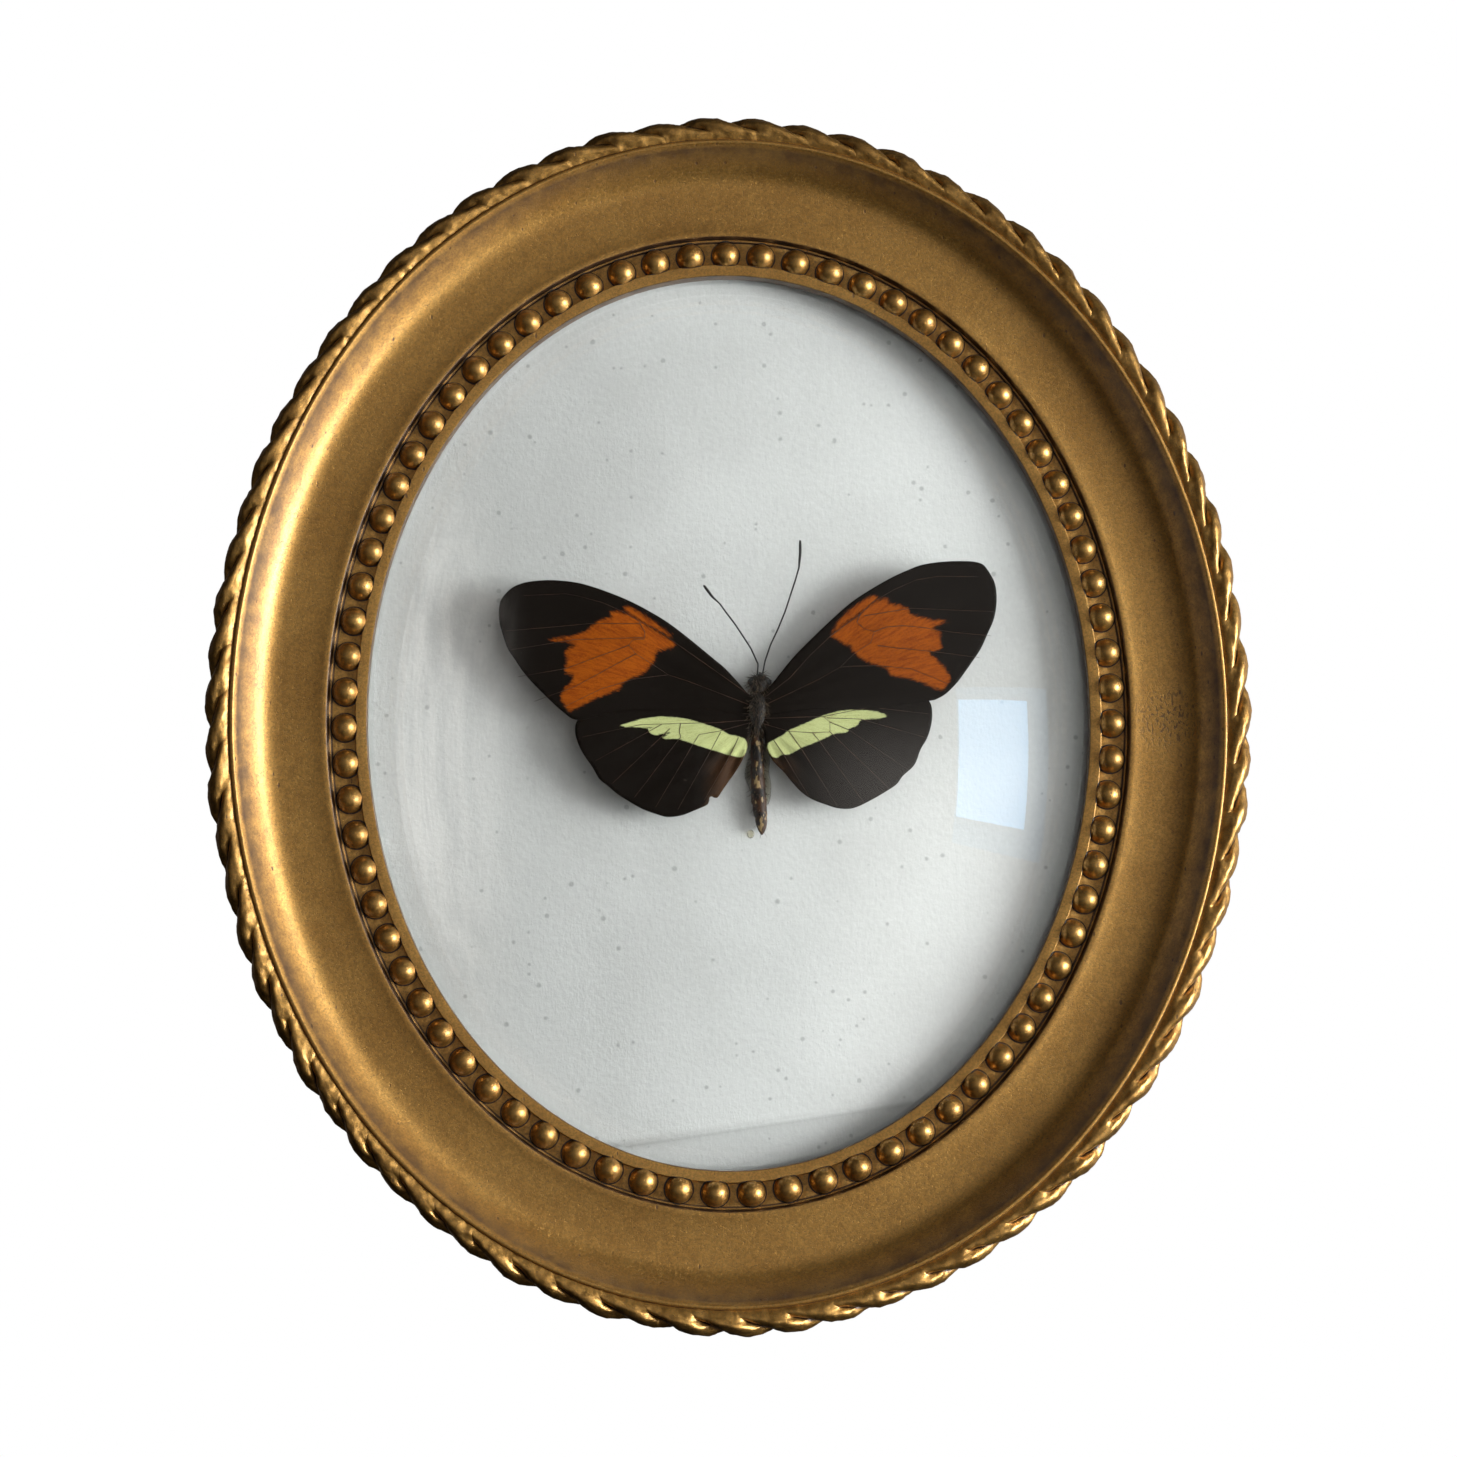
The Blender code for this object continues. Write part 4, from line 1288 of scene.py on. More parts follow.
    def rope_outward(self, around: float) -> np.ndarray:
        """Returns the way from the rope's middle to its skin, flattened on the side of the lip.

        Args:
            around: The angle in the section, from straight ahead towards the outside.

        Returns:
            The direction, about as long as one rope radius.
        """
        turned = around + self.rope_tilt
        ways = (math.sin(turned), math.cos(turned))
        parts = [math.copysign(abs(way) ** self.rope_squareness, way) for way in ways]
        cosine, sine = math.cos(self.rope_tilt), math.sin(self.rope_tilt)
        return np.array([0.0, parts[0] * cosine - parts[1] * sine, parts[0] * sine + parts[1] * cosine])

    @staticmethod
    def smooth(value: float, low: float, high: float) -> float:
        """Returns 0 below low, 1 above high and a smooth rise between."""
        share = min(1.0, max(0.0, (value - low) / (high - low)))
        return share * share * (3.0 - 2.0 * share)

    def build(self) -> None:
        """Builds and hands over the moulding's three pieces."""
        for piece in (self.build_body(), self.build_beads(), self.build_rope()):
            hand_over(piece, Slot.GILT, "frame_moulding")


def turned_outwards(piece: Piece) -> Piece:
    """Turns every face of a closed piece outwards.

    Args:
        piece: The piece, whose doubles are merged too.

    Returns:
        The same piece.
    """
    shell = bmesh.new()
    shell.from_mesh(piece.data)
    bmesh.ops.remove_doubles(shell, verts=shell.verts, dist=0.002 * MM)
    bmesh.ops.recalc_face_normals(shell, faces=shell.faces)
    shell.to_mesh(piece.data)
    shell.free()
    piece.data.shade_smooth()
    return piece


@dataclass
class Dome:
    """The domed glass, a thin shell that is open at the back and has a flat rim."""

    thickness: float = 1.8 * MM
    foot_inset: float = 0.5 * MM
    inner_inset: float = 1.2 * MM
    rim_offset: float = 2.4 * MM
    rim_top: float = 6.6 * MM
    rise: float = 18.0 * MM
    edge_slope: float = math.radians(39.5)
    sides: int = 240
    rings: int = 40
    dust_density: float = 2500.0
    dust_seed: int = 3

    def face_rows(self, inset: float, base: float) -> list[tuple[float, float, float]]:
        """Returns one face of the dome from its foot up: inset, share of the oval, height.

        Args:
            inset: How far the foot lies inside the sight edge.
            base: The height of the foot.

        Returns:
            The rows.
        """
        edge_level = math.cos(self.edge_slope)
        rows = []
        for i in range(self.rings):
            slope = self.edge_slope * (1.0 - i / self.rings)
            share = math.sin(slope) / math.sin(self.edge_slope)
            height = base + self.rise * (math.cos(slope) - edge_level) / (1.0 - edge_level)
            rows.append((inset, share, height))
        return rows

    def build_shell(self) -> Piece:
        """Makes the shell.

        Returns:
            The glass.
        """
        bottom = self.rim_top - self.thickness
        outer = self.face_rows(self.foot_inset, self.rim_top)
        inner = self.face_rows(self.inner_inset, bottom)
        rows = outer[::-1] + [(-self.rim_offset, 1.0, self.rim_top), (-self.rim_offset, 1.0, bottom)] + inner
        angles = full_turn(self.sides)
        rings = [SIGHT.grown(-inset).shrunk(share).points(angles, height) for inset, share, height in rows]
        crowns = [[0.0, -(self.rim_top + self.rise), 0.0], [0.0, -(bottom + self.rise), 0.0]]
        vertices, faces = np.concatenate(rings + [crowns]), capped_rings(len(rows), self.sides)
        return new_piece("glass_dome_shell", vertices, faces, GLASS.material(), None, 25.0)

    def build_dust(self) -> Piece:
        """Strews specks of dust over the front of the glass.

        Returns:
            The dust.
        """
        angles = full_turn(96)
        rows = self.face_rows(self.foot_inset + 1.0 * MM, self.rim_top + 0.04 * MM)[::4]
        rings = [SIGHT.grown(-inset).shrunk(share).points(angles, height) for inset, share, height in rows]
        cap = new_piece("glass_dust", np.concatenate(rings), ring_faces(len(rows), len(angles), False), None,
                        {"strew": np.ones(len(rows) * len(angles))})
        speck = self.speck()
        strewn = run_tree(cap, TREES.scatter, {
            "Shape": speck, "Density": self.dust_density, "Tilt": 2.0, "Smallest": 0.35, "Largest": 1.1,
            "Seed": self.dust_seed, "Material": DUST.material()})
        bpy.data.objects.remove(speck)
        return strewn

    @staticmethod
    def speck(radius: float = 0.028 * MM) -> Piece:
        """Makes one grain of dust, with eight faces.

        Args:
            radius: Half its width.

        Returns:
            The grain.
        """
        low = 0.6 * radius
        points = [(radius, 0, 0), (0, radius, 0), (-radius, 0, 0), (0, -radius, 0), (0, 0, low), (0, 0, -low)]
        faces = [(k, (k + 1) % 4, 4) for k in range(4)] + [((k + 1) % 4, k, 5) for k in range(4)]
        return new_piece("speck", points, faces)

    def build(self) -> None:
        """Builds and hands over the glass and its dust."""
        hand_over(self.build_shell(), Slot.GLASS, "glass_dome")
        hand_over(self.build_dust(), Slot.GLASS)


@dataclass
class Backing:
    """The card that carries the butterfly, the board behind it and the hanger."""

    card_front: float = 4.5 * MM
    card_thickness: float = 0.8 * MM
    board_front: float = 3.4 * MM
    sheet_offset: float = 2.5 * MM
    sides: int = 240
    card_ridge: tuple[Point, Point] = ((-17.1, -59.9), (25.0, -53.8))
    ridge_height: float = 0.16 * MM
    ridge_width: float = 0.35 * MM

    def disc(self, name: str, front: float, back: float, material: Material,
             bevel: float) -> Piece:
        """Makes an oval sheet with softly rounded edges.

        Args:
            name: The piece's name.
            front: The height of its front.
            back: The height of its back.
            material: Its material.
            bevel: How far its edges are rounded.

        Returns:
            The sheet.
        """
        rows = [
            (-bevel, front), (0.0, front - 0.3 * bevel), (0.0, front - bevel),
            (0.0, back + bevel), (-bevel, back)]
        oval = SIGHT.grown(self.sheet_offset)
        angles = full_turn(self.sides)
        rings = [oval.grown(inset).points(angles, height) for inset, height in rows]
        faces = [tuple(f) for f in ring_faces(len(rows), self.sides, False)]
        last = (len(rows) - 1) * self.sides
        faces += [tuple(range(self.sides)), tuple(range(last, last + self.sides))]
        return new_piece(name, np.concatenate(rings), faces, material, None, 40.0)

    def build_card(self) -> Piece:
        """Makes the card, with the low ridge that crosses its lower end and painted shade over the card below
        that ridge.

        Returns:
            The card.
        """
        back = self.card_front - self.card_thickness
        card = self.disc("mount_card", self.card_front, back, CARD.material(), 0.06 * MM)
        (x0, z0), (x1, z1) = self.card_ridge
        start = Vector((x0 * MM, 0.0, z0 * MM))
        along = (Vector((x1 * MM, 0.0, z1 * MM)) - start).normalized()
        across = Vector((-along.z, 0.0, along.x))
        shell = bmesh.new()
        shell.from_mesh(card.data)
        for shift in (-3.0, -1.0, 0.0, 1.0):
            bmesh.ops.bisect_plane(shell, geom=shell.verts[:] + shell.edges[:] + shell.faces[:],
                                   plane_co=start + across * shift * self.ridge_width, plane_no=across)
        # Painted shade: every point below the ridge line gets a shade value, which darkens the card's lower
        # end as if in shadow.
        layer = shell.verts.layers.float.new("shade")
        for vertex in shell.verts:
            reach = (vertex.co - start).dot(across)
            if abs(vertex.co.y + self.card_front) < 0.01 * MM and abs(reach) < 0.1 * self.ridge_width:
                vertex.co.y -= self.ridge_height
            vertex[layer] = 0.55 if reach < 0.5 * self.ridge_width else 0.0
        shell.to_mesh(card.data)
        shell.free()
        return card

    def dress_hanger(self) -> None:
        """Gives the hanger plate and its nails their metal."""
        brass = BRASS.material()
        for name in ("hanger_plate", "hanger_nail_left", "hanger_nail_right"):
            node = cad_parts[name]
            node.data.materials.clear()
            node.data.materials.append(brass)

    def build(self) -> None:
        """Builds and hands over the card and the board, and dresses the hanger."""
        hand_over(self.build_card(), Slot.CARD, "card")
        board = self.disc("back_board", self.board_front, 0.0, BOARD.material(), 0.25 * MM)
        hand_over(board, Slot.BOARD, "backing_board")
        self.dress_hanger()


def closed_curve(points: Outline, spacing: float) -> np.ndarray:
    """Draws a smooth closed line through points.

    Args:
        points: The points that it passes.
        spacing: How far apart its own points are.

    Returns:
        The points of the line, without the first one again.
    """
    given = np.array(points)
    curve = []
    count = len(given)
    for i in range(count):
        a, b, c, d = (given[(i + k) % count] for k in (-1, 0, 1, 2))
        steps = max(2, int(round(np.linalg.norm(c - b) / spacing)))
        for t in np.arange(steps) / steps:
            square, cube = 2 * a - 5 * b + 4 * c - d, 3 * b - a - 3 * c + d
            curve.append(0.5 * (2 * b + (c - a) * t + square * t ** 2 + cube * t ** 3))
    return np.array(curve)


def distance_to_line(points: np.ndarray, line: np.ndarray, closed: bool) -> np.ndarray:
    """Returns how far each point lies from a line of straight parts.

    Args:
        points: The points.
        line: The corners of the line.
        closed: Whether its last corner joins the first.

    Returns:
        A distance for each point.
    """
    ends = np.roll(line, -1, axis=0) if closed else line[1:]
    starts = line if closed else line[:-1]
    best = np.full(len(points), np.inf)
    for a, b in zip(starts, ends):
        span = b - a
        share = np.clip(((points - a) @ span) / max(float(span @ span), 1e-12), 0.0, 1.0)
        best = np.minimum(best, np.linalg.norm(points - a - share[:, None] * span, axis=1))
    return best


def inside(points: np.ndarray, outline: np.ndarray) -> np.ndarray:
    """Returns which points lie within a closed outline.

    Args:
        points: The points.
        outline: The outline's corners.

    Returns:
        True or False for each point.
    """
    x, y = points[:, 0], points[:, 1]
    result = np.zeros(len(points), bool)
    for a, b in zip(outline, np.roll(outline, -1, axis=0)):
        crosses = (a[1] > y) != (b[1] > y)
        if not crosses.any():
            continue
        at = a[0] + (y - a[1]) * (b[0] - a[0]) / (b[1] - a[1] if b[1] != a[1] else 1e-12)
        result ^= crosses & (x < at)
    return result


def depth_inside(points: np.ndarray, outline: np.ndarray) -> np.ndarray:
    """Returns how deep each point lies in an outline, below 0 outside it."""
    depth = distance_to_line(points, outline, True)
    return np.where(inside(points, outline), depth, -depth)


def filled(outline: np.ndarray, spacing: float) -> tuple[np.ndarray, list[tuple[int, ...]]]:
    """Fills an outline with even triangles.

    Args:
        outline: The points of the outline in order.
        spacing: The length of a triangle's side.

    Returns:
        The points and the triangles.
    """
    low, high = outline.min(axis=0), outline.max(axis=0)
    grid = []
    for row, y in enumerate(np.arange(low[1], high[1], spacing * 0.866)):
        for x in np.arange(low[0] + (row % 2) * 0.5 * spacing, high[0], spacing):
            grid.append((x, y))
    grid = np.array(grid)
    grid = grid[depth_inside(grid, outline) > 0.55 * spacing]
    points = [Vector(p) for p in np.concatenate([outline, grid])]
    made = delaunay_2d_cdt(points, [], [list(range(len(outline)))], 1, 1e-6)
    return np.array([tuple(p) for p in made[0]]), [tuple(f) for f in made[2]]


@dataclass(frozen=True)
class Wing:
    """One wing: its outline, patterns and veins, in the specimen's millimetres."""

    name: str
    outline: Outline
    root: Point
    raise_mm: float
    lift: float
    orange: tuple[Outline, ...] = ()
    yellow: tuple[Outline, ...] = ()
    veins: tuple[Outline, ...] = ()
    pleated: float = 0.0


LEFT_FORE = Wing(
    "forewing_left",
    ((0.4, 1.6), (-1.1, 2.4), (-2.6, 4.1), (-4.4, 6.1), (-5.9, 7.4), (-9.6, 10.5), (-12.6, 12.8),
     (-15.4, 14.5), (-18.1, 15.9), (-20.7, 17.0), (-23.2, 17.9), (-25.4, 18.5), (-28.0, 18.8),
     (-30.3, 18.8), (-32.7, 18.5), (-34.5, 17.8), (-35.6, 16.8), (-36.3, 15.7), (-36.5, 14.3),
     (-36.4, 12.6), (-35.9, 10.8), (-35.3, 9.0), (-34.3, 7.5), (-33.4, 6.1), (-32.2, 4.6), (-30.3, 2.6),
     (-27.8, 0.2), (-25.6, -1.2), (-22.4, -0.6), (-18.6, 0.1), (-15.7, 0.1), (-11.9, -0.4), (-7.2, -1.0),
     (0.4, -1.6)),
    (-0.5, 0.5), 0.0, 0.045,
    orange=(
        ((-18.3, 15.1), (-15.4, 13.4), (-12.1, 10.9), (-14.5, 11.9), (-17.2, 13.6), (-18.8, 14.7)),
        ((-20.7, 14.3), (-18.8, 14.1), (-16.7, 13.0), (-14.5, 11.6), (-11.7, 9.7), (-13.0, 9.0),
         (-14.3, 8.6), (-14.5, 7.5), (-15.4, 6.3), (-16.5, 5.3), (-18.8, 4.4), (-19.6, 3.3), (-21.8, 2.4),
         (-23.8, 1.5), (-25.8, 0.4), (-26.7, 0.2), (-27.2, 0.8), (-27.8, 1.9), (-27.4, 3.0), (-26.3, 4.3),
         (-26.1, 5.3), (-27.2, 5.7), (-26.9, 7.5), (-27.2, 8.6), (-25.8, 9.5), (-27.2, 10.1),
         (-29.4, 10.2), (-25.8, 11.0), (-24.0, 11.7), (-23.0, 12.6), (-21.8, 13.2), (-20.5, 13.6)),
    ),
    veins=(
        ((-1.1, 2.4), (-9.6, 8.5), (-13.9, 11.6), (-16.7, 13.0), (-19.0, 14.3), (-21.8, 15.6),
         (-25.4, 16.6), (-27.2, 16.9), (-33.0, 16.6)),
        ((-1.2, 1.0), (-9.6, 4.3), (-12.6, 5.3), (-14.7, 6.7), (-17.2, 8.3), (-18.2, 9.5)),
        ((-12.6, 5.3), (-17.3, 4.7), (-22.0, 3.3), (-27.3, 0.7)),
        ((-16.7, 12.8), (-15.9, 11.4), (-16.0, 10.4), (-17.6, 10.3), (-18.2, 9.5)),
        ((-16.7, 12.6), (-24.0, 12.6), (-35.5, 11.5)),
        ((-16.2, 10.6), (-26.0, 10.3), (-35.0, 8.8)),
        ((-18.2, 9.5), (-27.0, 6.2), (-33.8, 5.0)),
        ((-17.2, 8.3), (-26.0, 3.5), (-31.5, 1.5)),
    ))

RIGHT_FORE = Wing(
    "forewing_right",
    ((-0.4, 1.6), (0.6, 2.6), (1.9, 3.7), (4.9, 7.4), (6.7, 9.3), (9.7, 12.2), (12.7, 14.9), (15.2, 16.7),
     (18.8, 18.8), (21.8, 20.2), (23.8, 20.9), (26.8, 21.3), (29.8, 21.3), (31.4, 21.1), (32.4, 20.6),
     (33.4, 19.1), (33.9, 17.9), (34.1, 16.3), (34.0, 14.5), (33.6, 12.7), (32.8, 10.9), (31.8, 8.7),
     (30.6, 6.9), (29.6, 5.5), (28.4, 3.9), (26.8, 2.3), (25.4, 1.5), (24.6, 1.3), (20.0, 0.6),
     (12.0, -0.2), (6.0, -1.0), (-0.4, -1.6)),
    (0.5, 0.5), 0.0, 0.045,
    orange=(
        ((16.4, 16.4), (17.2, 16.1), (14.8, 14.1), (12.7, 12.7), (11.1, 11.3), (11.3, 12.3), (12.7, 13.9),
         (14.8, 15.5)),
        ((10.7, 10.9), (12.7, 12.3), (14.8, 13.9), (16.0, 15.1), (18.6, 16.1), (18.8, 15.4), (20.6, 15.0),
         (21.7, 14.4), (21.8, 13.7), (23.4, 13.3), (24.8, 12.9), (27.0, 12.7), (26.0, 12.2), (24.8, 11.7),
         (26.2, 11.1), (26.0, 10.1), (26.2, 8.7), (24.6, 8.3), (25.4, 7.3), (27.2, 5.1), (27.2, 3.9),
         (26.0, 2.9), (24.4, 3.5), (21.8, 4.5), (19.2, 5.0), (18.6, 5.9), (16.8, 6.6), (15.6, 7.1),
         (13.9, 8.3), (13.3, 9.3), (12.1, 9.9), (11.3, 10.4)),
    ),
    veins=(
        ((0.8, 1.8), (4.7, 4.8), (7.7, 8.1), (10.7, 10.9), (14.8, 13.9), (16.8, 15.7), (19.6, 17.3),
         (22.8, 18.7), (26.0, 19.2), (31.5, 19.0)),
        ((0.8, 0.8), (4.7, 2.6), (8.7, 4.5), (11.9, 6.3), (13.9, 8.2), (16.2, 9.7), (16.8, 11.3)),
        ((11.9, 6.3), (13.7, 6.4), (17.2, 6.4), (21.8, 5.9), (24.8, 4.7), (27.0, 3.7)),
        ((14.8, 13.9), (14.3, 12.7), (15.4, 11.7), (16.8, 11.3)),
        ((16.8, 11.3), (18.4, 11.9), (20.8, 12.1), (23.8, 11.8), (27.8, 11.1), (33.2, 10.5)),
        ((17.2, 9.3), (20.0, 8.9), (26.0, 8.2), (31.6, 7.4)),
        ((15.4, 13.6), (22.0, 14.6), (33.4, 14.0)),
    ))

LEFT_HIND = Wing(
    "hindwing_left",
    ((0.4, -0.2), (-1.2, -0.5), (-8.0, 0.6), (-16.0, 0.9), (-22.0, -0.2), (-25.0, -1.0), (-25.7, -1.6),
     (-25.8, -3.1), (-25.3, -4.8), (-24.5, -6.3), (-23.4, -7.9), (-22.4, -9.6), (-21.3, -10.5),
     (-19.9, -11.7), (-18.2, -12.8), (-16.3, -13.9), (-14.4, -14.6), (-12.9, -15.0), (-10.9, -14.8),
     (-9.0, -14.1), (-7.1, -13.2), (-6.9, -12.3), (-6.5, -12.1), (-5.8, -12.3), (-4.8, -10.9),
     (-3.5, -9.0), (-2.1, -6.7), (-1.4, -5.0), (-0.8, -2.6), (0.4, -1.6)),
    (-0.5, -1.0), 0.15, 0.030,
    yellow=(
        ((-19.7, -2.1), (-17.8, -1.4), (-15.7, -0.9), (-13.6, -0.7), (-10.9, -0.9), (-9.0, -1.3),
         (-7.1, -1.9), (-5.2, -2.6), (-4.0, -3.3), (-2.9, -3.5), (-1.7, -4.0), (-1.5, -5.2), (-2.1, -6.4),
         (-3.5, -6.3), (-4.6, -6.0), (-6.7, -5.4), (-9.2, -4.6), (-11.3, -3.9), (-13.2, -3.9),
         (-13.5, -3.7), (-12.3, -2.9), (-14.6, -3.3), (-15.5, -2.6), (-14.2, -2.1), (-15.3, -2.3),
         (-17.4, -2.2)),
    ),
    veins=(
        ((-1.0, -1.6), (-5.4, -2.8), (-8.3, -3.3), (-9.0, -4.4), (-14.5, -13.6)),
        ((-1.0, -1.2), (-6.0, -1.6), (-10.9, -1.7), (-16.5, -1.8), (-24.8, -3.6)),
        ((-10.9, -1.7), (-11.1, -2.9), (-10.9, -3.6), (-17.5, -12.2)),
        ((-13.6, -1.8), (-23.0, -7.0)),
        ((-12.4, -2.4), (-20.6, -10.2)),
        ((-5.2, -2.9), (-6.5, -5.3), (-11.4, -14.0)),
        ((-2.7, -3.7), (-3.9, -6.2), (-7.6, -12.6)),
    ), pleated=1.0)

RIGHT_HIND = Wing(
    "hindwing_right",
    ((-0.4, -0.2), (1.2, -0.4), (6.0, 0.2), (12.7, 1.1), (15.4, 1.6), (20.9, 2.2), (23.3, 2.0),
     (24.5, 1.1), (24.8, -0.5), (24.6, -2.3), (24.0, -4.1), (23.1, -5.6), (22.2, -7.8), (20.5, -9.4),
     (19.6, -10.6), (17.4, -12.0), (15.4, -13.1), (14.1, -13.7), (12.9, -14.0), (11.2, -13.9),
     (9.6, -13.4), (7.8, -12.7), (6.3, -11.7), (5.0, -10.3), (3.6, -8.5), (2.1, -6.9), (1.3, -5.4),
     (0.8, -2.6), (-0.4, -1.6)),
    (0.5, -1.0), 0.15, 0.030,
    yellow=(
        ((1.4, -4.7), (2.3, -4.1), (3.6, -3.4), (4.6, -2.7), (6.7, -1.8), (9.0, -0.8), (11.8, 0.0),
         (14.5, 0.1), (16.5, -0.1), (18.5, -0.7), (17.6, -1.1), (14.7, -1.3), (14.5, -1.8), (14.0, -2.2),
         (13.0, -2.6), (12.7, -3.1), (10.9, -3.3), (8.9, -4.2), (7.4, -4.8), (6.3, -5.2), (4.6, -6.1),
         (3.4, -6.2), (2.6, -6.6), (1.7, -6.0)),
    ),
    veins=(
        ((1.0, -1.8), (4.5, -2.9), (7.8, -3.1), (10.3, -3.0), (10.3, -1.6), (9.4, -0.8)),
        ((10.3, -1.6), (12.9, -2.7), (21.4, -8.6)),
        ((9.9, -1.0), (14.7, -1.2), (24.0, -4.0)),
        ((1.0, -1.0), (5.0, -0.9), (9.4, -0.8), (16.0, 0.5), (24.4, -0.6)),
        ((7.8, -3.1), (8.7, -4.2), (15.0, -13.2)),
        ((10.3, -3.0), (18.6, -11.2)),
        ((4.5, -2.9), (6.1, -5.2), (11.2, -13.6)),
        ((2.3, -4.1), (3.7, -6.2), (7.2, -12.2)),
    ), pleated=0.6)

BODY_STATIONS: tuple[tuple[float, float, float, float, float], ...] = (
    # place along z, middle x, half width, half depth, height of the middle over the card
    (5.5, 0.40, 0.35, 0.30, 2.4),
    (5.2, 0.40, 0.95, 0.80, 2.5),
    (4.4, 0.40, 1.38, 1.15, 2.6),
    (3.6, 0.38, 1.30, 1.10, 2.6),
    (2.9, 0.30, 0.85, 0.85, 2.6),
    (2.2, 0.20, 1.15, 1.15, 2.7),
    (1.0, 0.10, 1.45, 1.45, 2.8),
    (-0.8, 0.00, 1.40, 1.45, 2.8),
    (-2.4, -0.05, 1.05, 1.15, 2.6),
    (-3.2, -0.08, 0.72, 0.80, 2.4),
    (-4.7, 0.00, 0.95, 0.98, 2.1),
    (-7.4, 0.02, 1.00, 1.00, 1.75),
    (-9.9, 0.05, 1.05, 1.00, 1.45),
    (-12.5, 0.20, 1.12, 0.98, 1.35),
    (-14.6, 0.42, 0.98, 0.90, 1.3),
    (-16.0, 0.55, 0.78, 0.72, 1.3),
    (-17.0, 0.60, 0.45, 0.42, 1.3),
    (-17.4, 0.60, 0.12, 0.12, 1.3),
)

LEFT_ANTENNA: Outline = (
    (0.1, 5.2), (0.2, 6.9), (-0.8, 9.1), (-1.9, 10.8), (-3.1, 12.6),
    (-4.4, 14.3), (-5.2, 15.4), (-6.3, 16.4), (-7.5, 18.0))
RIGHT_ANTENNA: Outline = (
    (0.8, 5.2), (1.2, 7.3), (2.0, 9.6), (3.1, 11.9), (4.1, 14.3),
    (4.8, 16.4), (5.6, 18.8), (6.1, 20.5), (6.3, 22.6), (6.3, 24.4))


